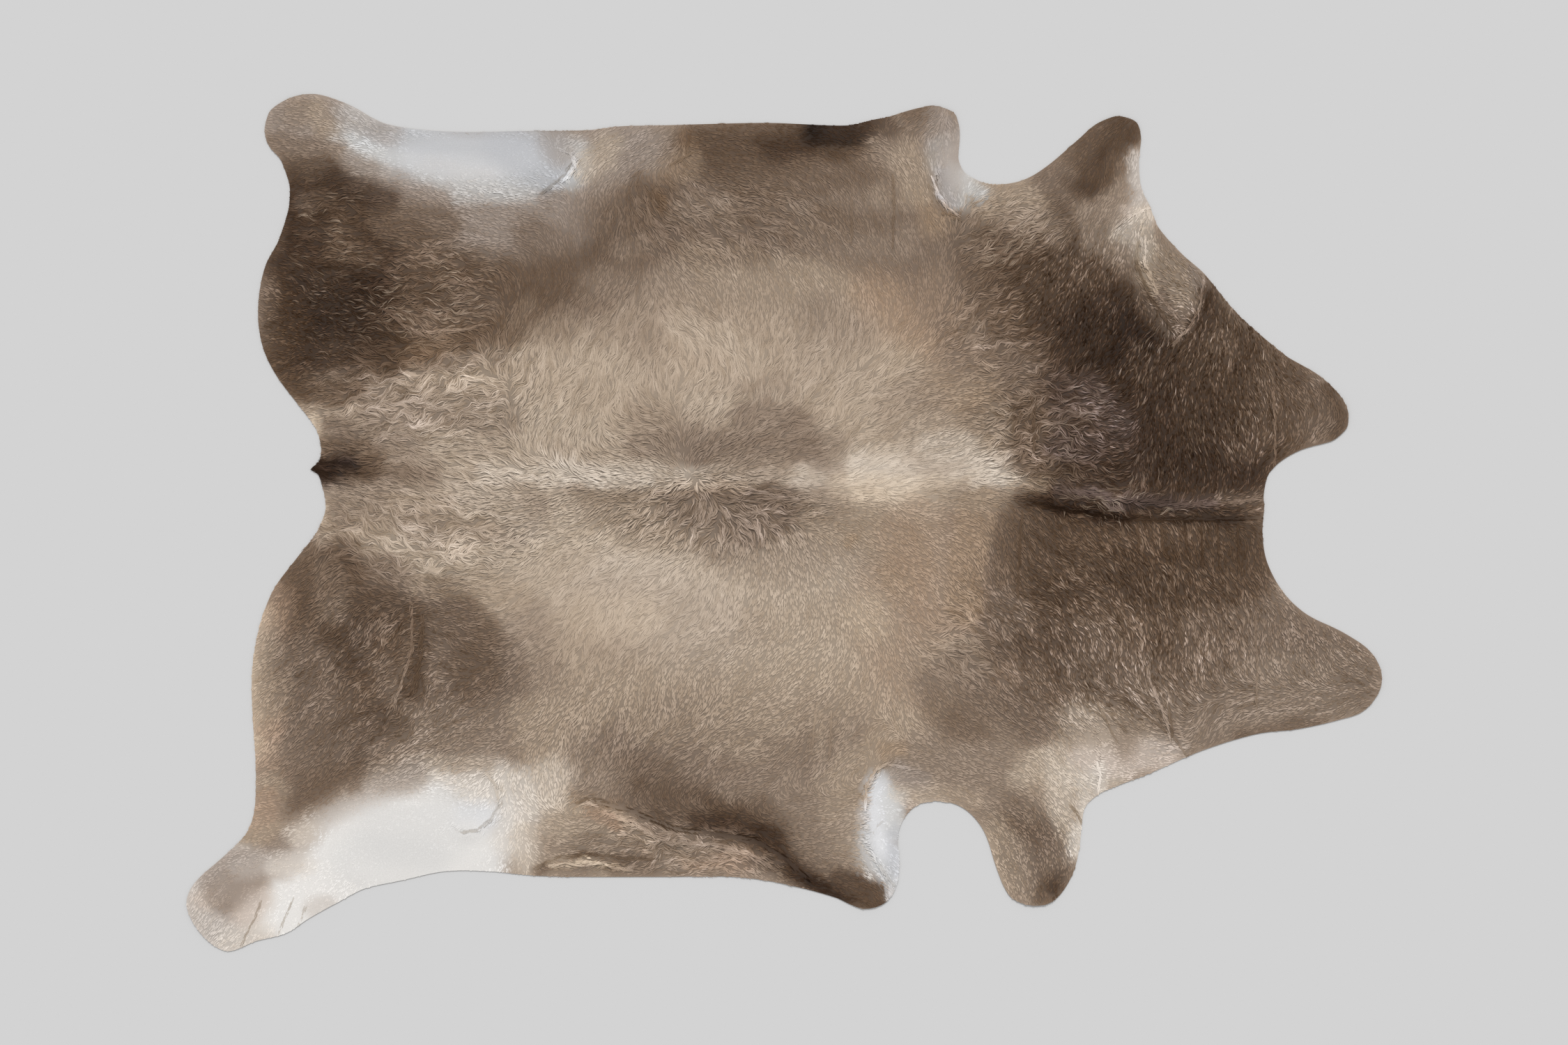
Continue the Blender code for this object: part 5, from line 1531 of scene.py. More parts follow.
def headed(angle):
    """Unit vectors on the hide that point at the angles."""
    return np.column_stack((np.cos(angle), np.sin(angle)))


def near_path(path, points, reach):
    """The points within a reach of the path's own box, as indexes."""
    return np.nonzero(((points > path.min(0) - reach) & (points < path.max(0) + reach)).all(1))[0]


def path_distance(path, points):
    """Distance from each point to the path."""
    if len(path) == 1:
        return np.linalg.norm(points - path[0], axis=1)
    best = np.full(len(points), np.inf)
    for start, end in zip(path, path[1:]):
        run = end - start
        share = np.clip((points - start) @ run / (run @ run), 0, 1)
        best = np.minimum(best, np.linalg.norm(points - start - share[:, None] * run, axis=1))
    return best


def polygon_area(points):
    """Area inside a closed loop of points."""
    x, y = points[:, 0], points[:, 1]
    return abs(0.5 * (x * np.roll(y, -1) - y * np.roll(x, -1)).sum())


def noise(points, size, seed):
    """Smooth noise, -1 to 1, with bumps about one size across."""
    table = np.random.default_rng(seed).uniform(-1, 1, (NOISE_CELLS, NOISE_CELLS))
    cell = points / size
    low = np.floor(cell).astype(int)
    part = cell - low
    part = part * part * (3 - 2 * part)
    x, y = low[:, 0] % NOISE_CELLS, low[:, 1] % NOISE_CELLS
    x_next, y_next = (x + 1) % NOISE_CELLS, (y + 1) % NOISE_CELLS
    near = table[x, y] * (1 - part[:, 0]) + table[x_next, y] * part[:, 0]
    far = table[x, y_next] * (1 - part[:, 0]) + table[x_next, y_next] * part[:, 0]
    return near * (1 - part[:, 1]) + far * part[:, 1]


def layered(points, rows):
    """The rows of noise added up."""
    return sum(reach * noise(points, size, seed) for reach, size, seed in rows)


class Field:
    """Values on an even grid over the hide, read anywhere between its points."""

    def __init__(self, low, high, pitch):
        self.low = np.array(low, float)
        self.pitch = pitch
        self.shape = tuple(np.ceil((np.array(high) - low) / pitch).astype(int) + 1)
        x, y = np.meshgrid(*(self.low[i] + pitch * np.arange(self.shape[i]) for i in (0, 1)), indexing="ij")
        self.points = np.column_stack((x.ravel(), y.ravel()))

    def read(self, values, points):
        """The grid's values at the points, blended between the four nearest."""
        values = values.reshape(self.shape + values.shape[1:])
        cell = (points - self.low) / self.pitch
        cell = np.clip(cell, 0, np.array(self.shape) - GRID_END)
        low = cell.astype(int)
        part = cell - low
        x, y = low[:, 0], low[:, 1]
        across, up = part[:, 0], part[:, 1]
        if values.ndim == 3:
            across, up = across[:, None], up[:, None]
        near = values[x, y] * (1 - across) + values[x + 1, y] * across
        far = values[x, y + 1] * (1 - across) + values[x + 1, y + 1] * across
        return near * (1 - up) + far * up


def comb_field(field):
    """The lie of the coat at each grid point, as unit vectors on the hide."""
    rows = np.array(COMB, float)
    roots = rows[:, :2]
    runs = unit(rows[:, 2:] * (1, -1))
    spots = to_trace(field.points)
    lie = np.empty_like(spots)
    for start in range(0, len(spots), POINTS_AT_ONCE):
        part = spots[start:start + POINTS_AT_ONCE]
        gap = ((part[:, None] - roots[None]) ** 2).sum(2)
        lie[start:start + POINTS_AT_ONCE] = (1 / (gap + COMB_REACH**2) ** 2) @ runs
    return unit(lie)


def zone_field(field):
    """Length, curl, contrast, share of light flecks and their paleness at each grid point."""
    spots = to_trace(field.points)
    values = np.tile(BASE_ZONE, (len(spots), 1)).astype(float)
    for _, x, y, half_x, half_y, *zone in ZONES:
        away = np.linalg.norm((spots - (x, y)) / (half_x, half_y), axis=1)
        cover = np.clip(ZONE_FULL * soft(away), 0, 1)[:, None]
        values += (np.array(zone) - values) * cover
    return values


def painted(spots):
    """The coat's colour at points of the trace, each stroke laid over the ones before it."""
    colour = np.tile(np.array(COLOURS[GROUND_COLOUR], float), (len(spots), 1))
    for name, share, core, fade, path in STROKES:
        path = np.array(path, float)
        near = near_path(path, spots, core + fade)
        cover = share * soft((path_distance(path, spots[near]) - core) / fade)
        colour[near] += (np.array(COLOURS[name]) - colour[near]) * cover[:, None]
    return colour


def crease_depth(points):
    """How deep the creases press at points of the hide; less than 0 on the ridges."""
    spots = to_trace(points)
    depth = np.zeros(len(spots))
    for _, deep, half, path in CREASES:
        path = np.array(path, float)
        near = near_path(path, spots, half)
        pressed = deep * soft(path_distance(path, spots[near]) / half)
        deeper = np.abs(pressed) > np.abs(depth[near])
        depth[near[deeper]] = pressed[deeper]
    return depth


def linear(colour):
    """Display colours, 0 to 255, as linear light."""
    value = np.clip(colour / 255, 0, 1)
    return np.where(value <= 0.04045, value / 12.92, ((value + 0.055) / 1.055) ** 2.4)


def hair_light(colour):
    """The paint as the colour of single hairs: deeper and warmer in the dark, held back in the white."""
    grey = colour.mean(-1, keepdims=True)
    colour = grey + (colour - grey) * WARMTH
    colour = MIDDLE_TONE * (np.maximum(colour, 0.001) / MIDDLE_TONE) ** DEPTH
    return colour * COAT_GAIN * (1 - WHITE_HELD * colour)


def roughness_share(contrast):
    """How far the coat stands off the skin: little where it is smooth, fully where it is not."""
    return np.clip(contrast / FULL_CONTRAST, LEAST_ROUGH, 1.0)


def rim_loop(hide):
    """The hide's outline, read in order round the rim of its upper side, in millimetres."""
    mesh = hide.data
    points = np.array([v.co for v in mesh.vertices])
    keys, index = np.unique(np.round(points[:, :2] / MM, 2), axis=0, return_inverse=True)
    index = index.reshape(-1)
    uses = {}
    for face in mesh.polygons:
        if face.normal.z < LEAST_UPWARD:
            continue
        corners = [int(index[v]) for v in face.vertices]
        for a, b in zip(corners, corners[1:] + corners[:1]):
            uses[(a, b)] = True
    after = {a: b for a, b in uses if (b, a) not in uses}
    loop = [next(iter(after))]
    while after[loop[-1]] != loop[0]:
        loop.append(after[loop[-1]])
    return keys[loop]


def smooth_loop(knots, pitch):
    """Points about a pitch apart on a smooth closed line through every knot."""
    ring = np.vstack((knots[-1:], knots, knots[:2]))
    points = []
    for before, start, end, after in zip(ring, ring[1:], ring[2:], ring[3:]):
        count = max(1, round(np.linalg.norm(end - start) / pitch))
        for step in range(count):
            t = step / count
            points.append(
                0.5 * (
                    2 * start
                    + (end - before) * t
                    + (2 * before - 5 * start + 4 * end - after) * t**2
                    + (3 * start - before - 3 * end + after) * t**3
                )
            )
    return np.array(points)


def edge_distance(outline, points, inside):
    """How far inside the outline each point lies; less than 0 outside."""
    tree = KDTree(len(outline))
    for i, (x, y) in enumerate(outline):
        tree.insert((x, y, 0.0), i)
    tree.balance()
    away = np.array([tree.find((x, y, 0.0))[2] for x, y in points])
    return np.where(inside, away, -away)


def read_heights(hide, field):
    """Where the solid is, and the height of its lower and upper side, carried on past the rim."""
    mesh = hide.data
    tree = BVHTree.FromPolygons([v.co for v in mesh.vertices], [tuple(p.vertices) for p in mesh.polygons])
    heights = np.full((len(field.points), 2), np.nan)
    for i, (x, y) in enumerate(field.points * MM):
        hit = tree.ray_cast((x, y, -1.0), (0.0, 0.0, 1.0))[0]
        if hit is not None:
            heights[i] = hit.z / MM, tree.ray_cast((x, y, 1.0), (0.0, 0.0, -1.0))[0].z / MM
    inside = ~np.isnan(heights[:, 0])
    heights = heights.reshape(field.shape + (2,))
    while np.isnan(heights).any():
        shifted = [np.roll(heights, step, axis) for axis in (0, 1) for step in (-1, 1)]
        known = [~np.isnan(values) for values in shifted]
        total = sum(np.where(mask, values, 0) for mask, values in zip(known, shifted))
        count = sum(mask.astype(int) for mask in known)
        fill = np.isnan(heights) & (count > 0)
        heights[fill] = total[fill] / count[fill]
    return inside, heights.reshape(-1, 2)


def make_mesh(name, points, triangles, colour=None, uv=None):
    """A mesh object from arrays of points in millimetres and triangles."""
    mesh = bpy.data.meshes.new(name)
    mesh.vertices.add(len(points))
    mesh.vertices.foreach_set("co", (points * MM).astype(np.float32).ravel())
    mesh.loops.add(triangles.size)
    mesh.loops.foreach_set("vertex_index", triangles.astype(np.int32).ravel())
    mesh.polygons.add(len(triangles))
    mesh.polygons.foreach_set("loop_start", np.arange(0, triangles.size, 3, dtype=np.int32))
    if colour is not None:
        layer = mesh.color_attributes.new("hair_colour", "FLOAT_COLOR", "POINT")
        rgba = np.column_stack((colour, np.ones(len(colour)))).astype(np.float32)
        layer.data.foreach_set("color", rgba.ravel())
    if uv is not None:
        layer = mesh.uv_layers.new(name="OFBake")
        layer.uv.foreach_set("vector", uv[triangles.ravel()].astype(np.float32).ravel())
    mesh.update(calc_edges=True)
    mesh.shade_smooth()
    made = bpy.data.objects.new(name, mesh)
    bpy.context.scene.collection.objects.link(made)
    return made


class Coat:
    """Where the coat grows: its lie, its zones, its colour and the heights between which it lies."""

    def __init__(self, hide):
        self.rim = rim_loop(hide)
        outline = smooth_loop(self.rim, EDGE_PITCH)
        low, high = outline.min(0) - GRID_MARGIN, outline.max(0) + GRID_MARGIN
        self.field = Field(low, high, GRID_PITCH)
        guide = Field(low, high, GUIDE_PITCH)
        points = self.field.points
        inside, heights = read_heights(hide, self.field)
        self.low = heights[:, 0]
        self.top = heights[:, 1] - crease_depth(points)
        self.edge = edge_distance(outline, points, inside)
        self.lie = guide.read(comb_field(guide), points)
        self.zones = guide.read(zone_field(guide), points)
        warp = np.column_stack((layered(points, WARP_ALONG), layered(points, WARP_ACROSS)))
        self.colour = painted(to_trace(points) + warp)
        self.sway = layered(points, SWAY)
        self.run = headed(np.arctan2(self.lie[:, 1], self.lie[:, 0]) + self.zones[:, ZONE_CURL] * self.sway)
        self.clumps = layered(points, CLUMPS)
        self.streak = self.drawn_out(layered(points, STREAK), STREAK_STRIDE)
        self.mottle = self.drawn_out(layered(points, MOTTLE), MOTTLE_STRIDE)

    def read(self, values, points):
        """The values at points of the hide."""
        return self.field.read(values, points)

    def zone(self, column, points):
        """One column of the zones at points of the hide."""
        return self.read(self.zones, points)[:, column]

    def along(self, values, line):
        """The values at every step of every hair."""
        return self.read(values, line.reshape(-1, 2)).reshape(line.shape[:2] + values.shape[1:])

    def drawn_out(self, grain, stride):
        """Grain smeared along the hair, so that hairs that lie together are light or dark together."""
        total = grain.copy()
        for way in (1, -1):
            here = self.field.points.copy()
            for _ in range(STREAK_STEPS):
                here += way * stride * GRID_PITCH * self.read(self.run, here)
                total += self.read(grain, here)
        return total / total.std()


def skin_net(coat):
    """Points and triangles that cover the hide, seen from above, a little inside its outline."""
    edge = smooth_loop(coat.rim, RIM_PITCH)
    way = np.roll(edge, -1, axis=0) - np.roll(edge, 1, axis=0)
    rim = edge + SKIN_INSET * unit(np.column_stack((-way[:, 1], way[:, 0])))
    rows = np.arange(edge[:, 1].min(), edge[:, 1].max(), SKIN_PITCH * ROW_STEP)
    columns = np.arange(edge[:, 0].min(), edge[:, 0].max(), SKIN_PITCH)
    body = np.array([(x + (i % 2) * SKIN_PITCH / 2, y) for i, y in enumerate(rows) for x in columns])
    body = body[coat.read(coat.edge, body) > SKIN_INSET + SKIN_PITCH / 2]
    count = len(rim)
    edges = [(i, (i + 1) % count) for i in range(count)]
    flat = [tuple(point) for point in np.vstack((rim, body))]
    points, _, faces, *_ = delaunay_2d_cdt(flat, edges, [], 1, 1e-4)
    return np.array([tuple(point) for point in points]), np.array([tuple(face) for face in faces])


def skin_sheet(coat):
    """The skin: one closed sheet of even thickness on the solid's folds, bare suede below."""
    flat, faces = skin_net(coat)
    total = len(flat)
    under = coat.read(coat.low, flat)
    points = np.vstack((np.column_stack((flat, under)), np.column_stack((flat, under + SKIN_THICKNESS))))
    sides = {(int(a), int(b)) for face in faces for a, b in zip(face, np.roll(face, -1))}
    wall = [(a, b) for a, b in sides if (b, a) not in sides]
    wall_faces = [(a, b + total, a + total) for a, b in wall] + [(a, b, b + total) for a, b in wall]
    triangles = np.vstack((faces + total, faces[:, ::-1], wall_faces))
    # The skin's top is painted darker as shade under deep coat, less so under smooth coat and near the rim
    smooth = 1 - roughness_share(coat.zone(ZONE_CONTRAST, flat))
    smooth = np.maximum(smooth, RIM_SMOOTH - coat.read(coat.edge, flat) / RIM_PITCH)
    shade = SKIN_SHADE + (SMOOTH_SKIN - SKIN_SHADE) * smooth
    colour = hair_light(linear(painted(to_trace(flat)))) / COAT_GAIN * shade[:, None]
    skin = make_mesh("skin", points, triangles, np.vstack((np.tile(SUEDE_COLOUR, (total, 1)), colour)))
    skin.data.set_sharp_from_angle(angle=SHARP_ANGLE)
    skin.data.materials.append(skin_material())
    return skin


def lock_roots(coat, style, keep):
    """Roots in even rows, each moved a little, where keep gives a share above a draw."""
    random = np.random.default_rng(style["root_seed"])
    pitch = style["pitch"]
    low, high = coat.rim.min(0), coat.rim.max(0)
    rows = np.arange(low[1], high[1], pitch * ROW_STEP)
    columns = np.arange(low[0], high[0], pitch)
    x, y = np.meshgrid(columns, rows)
    x = x + (np.arange(len(rows)) % 2)[:, None] * pitch / 2
    roots = np.column_stack((x.ravel(), y.ravel()))
    roots += random.uniform(-0.5, 0.5, roots.shape) * pitch * ROOT_JITTER
    roots = roots[coat.read(coat.edge, roots) > ROOT_FROM_EDGE]
    return roots[random.uniform(size=len(roots)) < keep(roots)]


def crease_roots(coat, style):
    """Roots along every crease, with the way each runs there and how deep it is."""
    random = np.random.default_rng(style["root_seed"])
    roots, ways, depths = [], [], []
    for _, depth, half, path in CREASES:
        path = to_hide(path)
        for start, end in zip(path, path[1:]):
            run = end - start
            reach = np.linalg.norm(run)
            count = max(2, round(reach / style["pitch"]))
            along = random.uniform(0, 1, count)[:, None]
            side = random.normal(size=count)[:, None] * half * TRACE_STEP * CREASE_LINE_SPREAD
            roots.append(start + along * run + side * np.array((-run[1], run[0])) / reach)
            ways.append(np.full(count, np.arctan2(run[1], run[0])))
            depths.append(np.full(count, depth))
    roots, ways, depths = np.vstack(roots), np.concatenate(ways), np.concatenate(depths)
    within = coat.read(coat.edge, roots) > CREASE_LINE_FROM_EDGE
    return roots[within], ways[within], depths[within]


class Growth:
    """One layer of the coat, lock by lock and hair by hair, from its roots to its tips."""

    def __init__(self, coat, roots, style, way=None, depth=None):
        self.coat, self.style, self.way, self.depth = coat, style, way, depth
        self.random = random = np.random.default_rng(style["hair_seed"])
        count = len(roots)
        self.lock = np.repeat(np.arange(count), style["strands"])
        self.total = total = len(self.lock)
        self.share = np.linspace(0, 1, style["steps"] + 1)
        zones = coat.read(coat.zones, roots)
        length = np.minimum(zones[:, ZONE_LENGTH], style["longest"])
        length = length * random.uniform(*LOCK_LENGTH, count) * style["length"]
        lock_turn = style["turn"] * random.normal(size=count)
        lock_tone = random.normal(size=count)

        angle = random.uniform(0, 2 * np.pi, total)
        reach = np.sqrt(random.uniform(0, 1, total))
        self.offset = style["spread"] * reach[:, None] * headed(angle)
        self.offset *= (coat.read(coat.edge, roots[self.lock] + self.offset) > HAIR_FROM_EDGE)[:, None]
        self.start = roots[self.lock] + self.offset
        self.size = length[self.lock] * random.uniform(*HAIR_LENGTH, total)
        self.curl = style["curl"] * zones[self.lock, ZONE_CURL] * random.uniform(*HAIR_CURL, total)
        self.contrast = zones[self.lock, ZONE_CONTRAST]
        self.paleness = zones[self.lock, ZONE_PALE]
        self.rough = roughness_share(self.contrast)
        self.turn = lock_turn[self.lock] + HAIR_TURN * style["turn"] * random.normal(size=total)
        flip = np.where(random.uniform(size=total) < DARK_SHARE, -1, 1)
        hair_tone = np.clip(random.exponential(size=total) - TONE_MIDDLE, -TONE_MIDDLE, TONE_LIMIT)

        self.line = self.walk()
        self.shorten_past_rim()
        self.even = np.minimum(self.contrast, STREAK_LIMIT) / self.contrast
        streak = coat.read(coat.streak, self.line[:, style["steps"] // 2])
        self.tone = (
            style["lock_tone"] * lock_tone[self.lock]
            + style["hair_tone"] * flip * hair_tone
            + style["streak"] * self.even * streak
        )

    def walk(self):
        """The line of each hair, step by step along the lie and the sway of the coat, or one given way."""
        steps = self.style["steps"]
        line = [self.start]
        here = self.start - self.offset
        for step in range(steps):
            lie = self.coat.read(self.coat.lie, here)
            sway = self.coat.read(self.coat.sway, here)
            angle = np.arctan2(lie[:, 1], lie[:, 0]) if self.way is None else self.way
            turned = self.turn * (ROOT_TURN + (1 - ROOT_TURN) * step / steps)
            here = here + (self.size / steps)[:, None] * headed(angle + self.curl * sway + turned)
            line.append(here + self.offset * (1 - self.style["gather"] * (step + 1) / steps))
        return np.stack(line, axis=1)

    def shorten_past_rim(self):
        """Hairs that would hang far over the rim are cut to the length that fits."""
        reached = self.coat.along(self.coat.edge, self.line)
        furthest = reached.min(1)
        inner = np.maximum(reached[:, 0], 0)
        fit = np.clip((inner + TIP_OVERHANG) / np.maximum(inner - furthest, 1e-6), LEAST_FIT, 1)
        self.size = self.size * np.where(furthest < -TIP_OVERHANG, fit, 1)
        self.line = self.walk()

    def heights(self):
        """Height of each step: from the skin up to the solid's top, light hairs above dark ones."""
        low = self.coat.along(self.coat.low, self.line) + SKIN_THICKNESS
        top = self.coat.along(self.coat.top, self.line)
        drawn = self.random.uniform(*HAIR_LAYER, self.total) + LAYER_TONE * np.clip(self.tone, -1, 2)
        layer = LAYER_MIDDLE + self.rough * drawn + self.style["lift"]
        steep = self.rough[:, None]
        climb = ROOT_RISE + (1 - ROOT_RISE) * self.share[None] ** RISE_CURVE
        rise = (steep * climb + (1 - steep) * FLAT_RISE) * layer[:, None]
        return low - ROOT_SUNK + (top - low + TOP_RAISED) * rise

    def ribbons(self):
        """Left, right and tip points of each hair's flat ribbon, which narrows to the tip."""
        middle = np.dstack((self.line, self.heights()))
        tangent = unit(np.gradient(middle, axis=1))
        across = unit(np.dstack((-tangent[..., 1], tangent[..., 0], np.zeros(tangent.shape[:2]))))
        upward = np.cross(tangent, across)
        roll = (self.style["roll"] * self.rough * self.random.normal(size=self.total))[:, None, None]
        across = across * np.cos(roll) + upward * np.sin(roll)
        width = self.style["width"] * self.random.uniform(*HAIR_WIDTH, self.total)
        reached = self.coat.along(self.coat.edge, self.line)
        half = 0.5 * width[:, None] * np.interp(self.share, *TAPER)[None]
        half = np.minimum(half, np.maximum(reached + TIP_OVERHANG, LEAST_HALF))[:, :-1, None]
        left = middle[:, :-1] + across[:, :-1] * half
        right = middle[:, :-1] - across[:, :-1] * half
        return np.concatenate((left, right, middle[:, -1:]), axis=1)

    def triangles(self):
        """Two triangles for each step of a ribbon and one for its tip."""
        steps = self.style["steps"]
        pattern = []
        for step in range(steps - 1):
            a, b, c, d = step, step + 1, steps + step, steps + step + 1
            pattern += [(a, c, d), (a, d, b)]
        pattern.append((steps - 1, 2 * steps - 1, 2 * steps))
        return np.array(pattern)[None]

    def colours(self):
        """Colour of each step: the paint under it, lighter or darker by hair, lock and streak, with painted
        shade at the root, in creases and on the under layer, and painted highlight on ridges and on the
        layers above.
        """
        coat, style, share = self.coat, self.style, self.share
        spots = COLOUR_FROM_ROOT * self.start[:, None] + (1 - COLOUR_FROM_ROOT) * self.line
        spots = spots + self.random.normal(scale=COLOUR_SPREAD, size=spots.shape)
        base = linear(coat.along(coat.colour, spots))
        if self.way is None:
            pressed = crease_depth(self.line.reshape(-1, 2)).reshape(self.line.shape[:2])
        else:
            pressed = self.depth[:, None]
        stops = self.tone[:, None] * (ROOT_TONE + (1 - ROOT_TONE) * share[None])
        # Painted shade at the root and painted light along the hair; painted shade on the under layer and
        # painted light on the layers above
        stops = stops + style["root"] * np.interp(share, *TIP_LIGHT)[None] + style["layer_shading"]
        mottle = MOTTLE_SHARE * self.even * self.contrast * coat.read(coat.mottle, self.start)
        # Painted shade where the hair lies in a crease, painted highlight where it lies on a ridge
        stops = stops * self.contrast[:, None] + mottle[:, None] - CREASE_SHADE * pressed
        stops = np.where(stops > 0, stops * (1 - LIGHT_HELD * base.mean(2)), stops)
        pale = style["pale"] * self.paleness * self.random.uniform(*HAIR_PALE, self.total)
        base = base + (linear(np.array(FLECK_COLOUR)) - base) * pale[:, None, None]
        held = np.interp(self.contrast, (SMOOTH_CONTRAST, FULL_CONTRAST), (SMOOTH_SHADE, 1.0))
        return hair_light(base) * held[:, None, None] * np.exp(stops[..., None] * TONE_TINT)


def on_ribbon(values):
    """Values at the steps of each hair, given to the left, right and tip points of its ribbon."""
    return np.concatenate((values[:, :-1], values[:, :-1], values[:, -1:]), axis=1)


def grow(coat, roots, style, way=None, depth=None):
    """Locks of hair from the roots: arrays of points, triangles, colours and ribbon places."""
    layer = Growth(coat, roots, style, way, depth)
    steps = style["steps"]
    points = layer.ribbons()
    return {
        "x": layer.start[:, 0],
        "points": points,
        "triangles": layer.triangles(),
        "colour": np.clip(on_ribbon(layer.colours()), DARKEST, LIGHTEST),
        "side": np.repeat((*RIBBON_SIDES, 0.5), (steps, steps, 1)),
        "along": on_ribbon(layer.share[None])[0],
        "per": points.shape[1],
    }


def coat_bands(parts, count):
    """Where along the hide to part the grown hair, so that count meshes get the same share of it."""
    weight = np.concatenate([np.full(len(p["x"]), p["triangles"].shape[1]) for p in parts])
    x = np.concatenate([p["x"] for p in parts])
    order = np.argsort(x)
    running = np.cumsum(weight[order]) / weight.sum()
    inner = [x[order[min(len(order) - 1, np.searchsorted(running, k / count))]] for k in range(1, count)]
    return [-np.inf, *inner, np.inf]


def coat_piece(name, parts, low, high):
    """One mesh of all the hair rooted between two lines, each hair in a cell of its own on the UV sheet."""
    chosen = [(p, np.nonzero((p["x"] >= low) & (p["x"] < high))[0]) for p in parts]
    cells = sum(len(rows) for _, rows in chosen)
    columns = int(np.ceil(np.sqrt(cells * CELL_SHAPE)))
    lines = int(np.ceil(cells / columns))
    points, triangles, colour, uv = [], [], [], []
    used = placed = 0
    for part, rows in chosen:
        size = len(rows)
        corners = part["points"][rows].reshape(-1, 3)
        local = part["triangles"] + part["per"] * np.arange(size)[:, None, None]
        cell = placed + np.arange(size)
        u = (cell % columns)[:, None] + part["side"][None]
        v = (cell // columns)[:, None] + CELL_RIM + (1 - 2 * CELL_RIM) * part["along"][None]
        points.append(corners)
        triangles.append(local.reshape(-1, 3) + used)
        colour.append(part["colour"][rows].reshape(-1, 3))
        uv.append(np.column_stack((u.ravel() / columns, v.ravel() / lines)))
        used += len(corners)
        placed += size
    return make_mesh(name, *(np.vstack(values) for values in (points, triangles, colour, uv)))


def hair_coat(coat):
    """Every layer of hair, shared out between a few meshes."""

    def long_share(roots):
        return np.clip((coat.zone(ZONE_LENGTH, roots) - LONG_FROM) / LONG_FADE, 0, 1)

    def under_share(roots):
        smooth = coat.zone(ZONE_CONTRAST, roots) < THINNED_BELOW
        return 1 - np.maximum(UNDER_THINNED * long_share(roots), SMOOTH_THINNED * smooth)

    def fleck_share(roots):
        clumped = np.clip(FLECKS_EVEN + FLECKS_CLUMPED * coat.read(coat.clumps, roots), 0, FLECKS_MOST)
        return coat.zone(ZONE_FLECKS, roots) * clumped

    parts = []
    for style, keep in ((UNDER, under_share), (LOCKS, long_share), (FLECKS, fleck_share)):
        parts.append(grow(coat, lock_roots(coat, style, keep), style))
    # Hairs along the creases, which carry their painted shade and painted highlight
    roots, way, depth = crease_roots(coat, CREASE_SHADE_AND_LIGHT)
    parts.append(grow(coat, roots, CREASE_SHADE_AND_LIGHT, way, depth))

    bands = coat_bands(parts, COAT_PIECES)
    material = hair_material()
    pieces = []
    for number, (low, high) in enumerate(zip(bands, bands[1:]), 1):
        piece = coat_piece(f"coat_{number}", parts, low, high)
        piece.data.materials.append(material)
        pieces.append(piece)
    return pieces


def new_material(name):
    """A material with its node tree, its links and its shader."""
    material = bpy.data.materials.new(name)
    material.use_nodes = True
    nodes = material.node_tree.nodes
    return material, nodes, material.node_tree.links, nodes["Principled BSDF"]


def noise_node(nodes, links, scale, detail):
    """Noise fixed to the piece, of so many bumps a metre."""
    place = nodes.new("ShaderNodeTexCoord")
    texture = nodes.new("ShaderNodeTexNoise")
    texture.inputs["Scale"].default_value = scale
    texture.inputs["Detail"].default_value = detail
    links.new(place.outputs["Object"], texture.inputs["Vector"])
    return texture


def map_node(nodes, links, texture, low, high):
    """The texture spread between a low and a high value."""
    reach = nodes.new("ShaderNodeMapRange")
    reach.inputs["From Min"].default_value = 0.3
    reach.inputs["From Max"].default_value = 0.7
    reach.inputs["To Min"].default_value = low
    reach.inputs["To Max"].default_value = high
    links.new(texture.outputs["Fac"], reach.inputs["Value"])
    return reach.outputs["Result"]


def tinted(nodes, links, shader, texture, low, high):
    """The hair colour of the mesh, made a little lighter and darker by the texture."""
    paint = nodes.new("ShaderNodeAttribute")
    paint.attribute_name = "hair_colour"
    scale = nodes.new("ShaderNodeVectorMath")
    scale.operation = "SCALE"
    links.new(paint.outputs["Color"], scale.inputs[0])
    links.new(map_node(nodes, links, texture, low, high), scale.inputs["Scale"])
    links.new(scale.outputs["Vector"], shader.inputs["Base Color"])


def bumped(nodes, links, shader, texture, distance):
    """A bump on the shader, as high as the distance in metres where the texture is full."""
    bump = nodes.new("ShaderNodeBump")
    bump.inputs["Strength"].default_value = 0.35
    bump.inputs["Distance"].default_value = distance
    links.new(texture.outputs["Fac"], bump.inputs["Height"])
    links.new(bump.outputs["Normal"], shader.inputs["Normal"])


def hair_material():
    """Soft hair with a faint sheen, finely uneven along each ribbon."""
    material, nodes, links, shader = new_material("hair")
    texture = noise_node(nodes, links, scale=900.0, detail=2.0)
    tinted(nodes, links, shader, texture, low=0.95, high=1.05)
    links.new(map_node(nodes, links, texture, low=0.5, high=0.66), shader.inputs["Roughness"])
    bumped(nodes, links, shader, texture, distance=0.0001)
    shader.inputs["Specular IOR Level"].default_value = 0.02
    return material


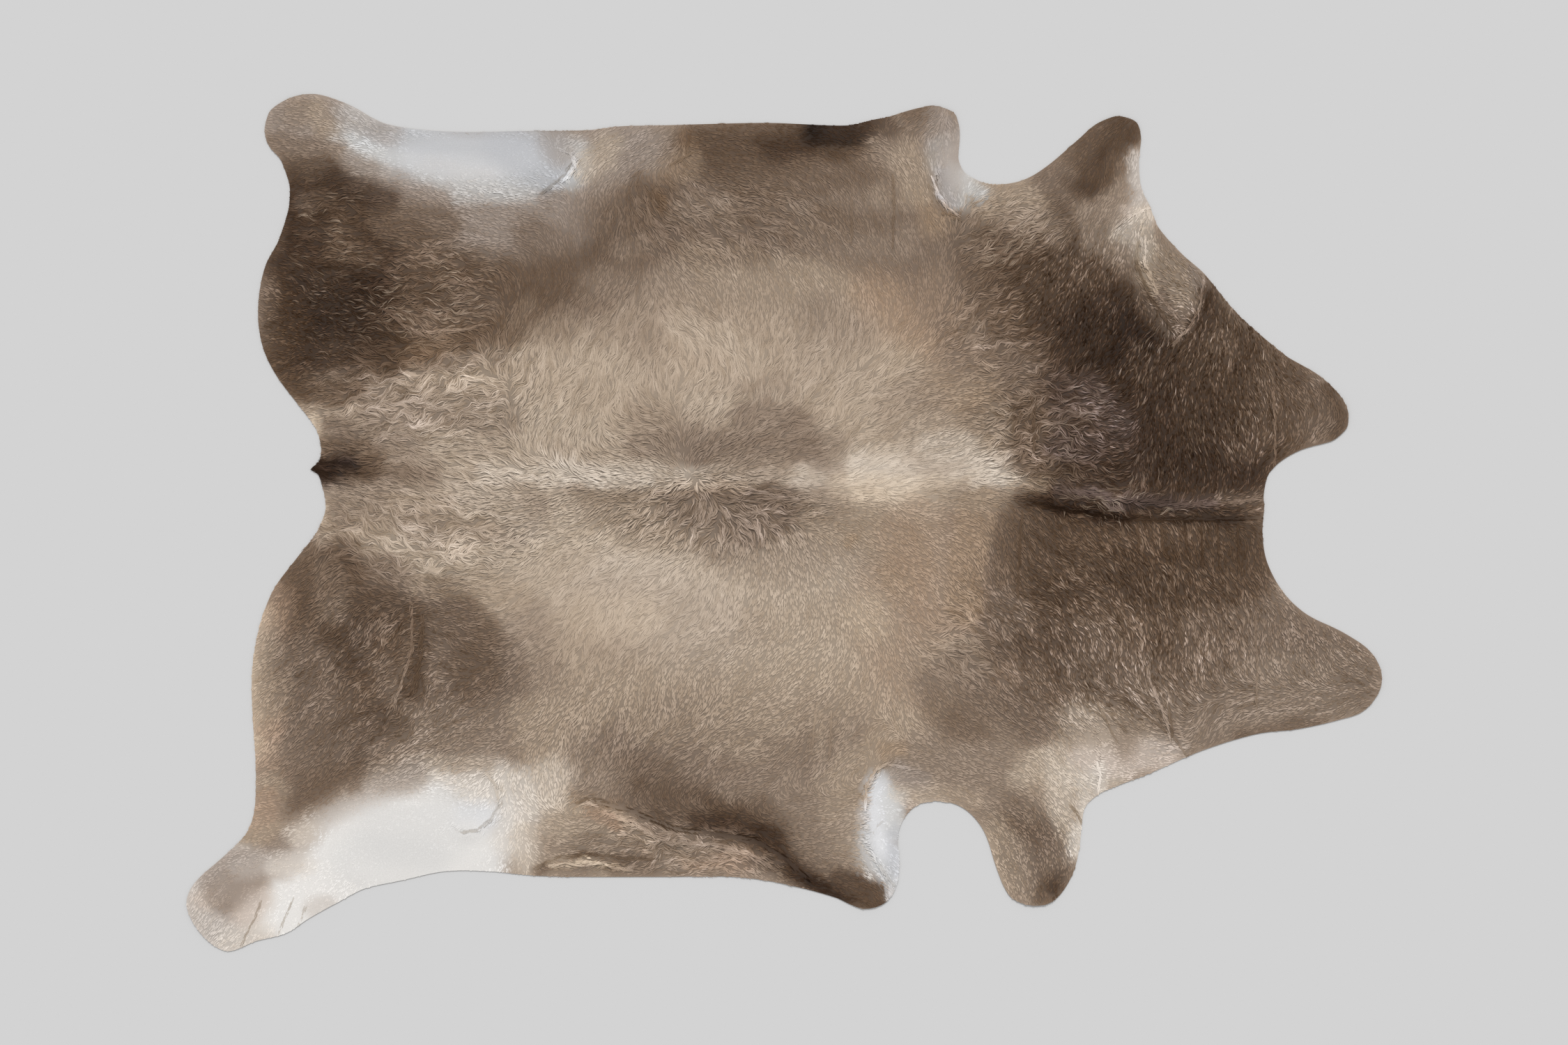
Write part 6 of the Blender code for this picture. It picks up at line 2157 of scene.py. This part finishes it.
def skin_material():
    """Matt skin with a fine grain."""
    material, nodes, links, shader = new_material("skin")
    grain = noise_node(nodes, links, scale=420.0, detail=6.0)
    tinted(nodes, links, shader, grain, low=0.93, high=1.05)
    links.new(map_node(nodes, links, grain, low=0.7, high=0.9), shader.inputs["Roughness"])
    bumped(nodes, links, shader, grain, distance=0.0003)
    shader.inputs["Specular IOR Level"].default_value = 0.2
    return material


def floor_plane():
    """The plain pale floor."""
    half = FLOOR_SIZE / MM / 2
    corners = np.array([(-half, -half, 0), (half, -half, 0), (half, half, 0), (-half, half, 0)], float)
    floor = make_mesh("floor", corners, np.array([(0, 1, 2), (0, 2, 3)]))
    material, _, _, shader = new_material("floor")
    shader.inputs["Base Color"].default_value = (*(FLOOR_SHADE,) * 3, 1)
    shader.inputs["Roughness"].default_value = 0.9
    shader.inputs["Specular IOR Level"].default_value = 0.0
    floor.data.materials.append(material)
    return floor


def studio():
    """Soft light from the upper edge of the sheet and from all round."""
    world = bpy.data.worlds.new("studio")
    bpy.context.scene.world = world
    world.use_nodes = True
    sky = world.node_tree.nodes["Background"]
    sky.inputs["Color"].default_value = (1, 1, 1, 1)
    sky.inputs["Strength"].default_value = SKY_STRENGTH
    lamp = bpy.data.lights.new("key", "SUN")
    lamp.energy = KEY_STRENGTH
    lamp.angle = np.radians(KEY_SPREAD)
    key = bpy.data.objects.new("key", lamp)
    key.rotation_euler = (np.radians(KEY_ELEVATION - 90), 0, 0)
    bpy.context.scene.collection.objects.link(key)
    bpy.context.scene.view_settings.view_transform = "Standard"
    bpy.context.scene.cycles.use_denoising = False


def camera():
    """The camera, straight above the hide's middle."""
    lens = bpy.data.cameras.new("camera")
    lens.lens = LENS
    lens.sensor_width = SENSOR
    lens.clip_end = CAMERA_REACH
    seen = bpy.data.objects.new("camera", lens)
    seen.location = (0, 0, CAMERA_HEIGHT)
    bpy.context.scene.collection.objects.link(seen)
    bpy.context.scene.camera = seen


def main():
    """The hide with its skin and hair, on the floor, under the light and the camera."""
    coat = Coat(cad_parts["hide"])
    skin = skin_sheet(coat)
    pieces = hair_coat(coat)

    flat_area = float(polygon_area(smooth_loop(coat.rim, RIM_PITCH))) * MM * MM
    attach(skin, "root")
    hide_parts("hide")
    for piece in pieces:
        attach(piece, "root")

    floor = floor_plane()
    studio()
    camera()


main()
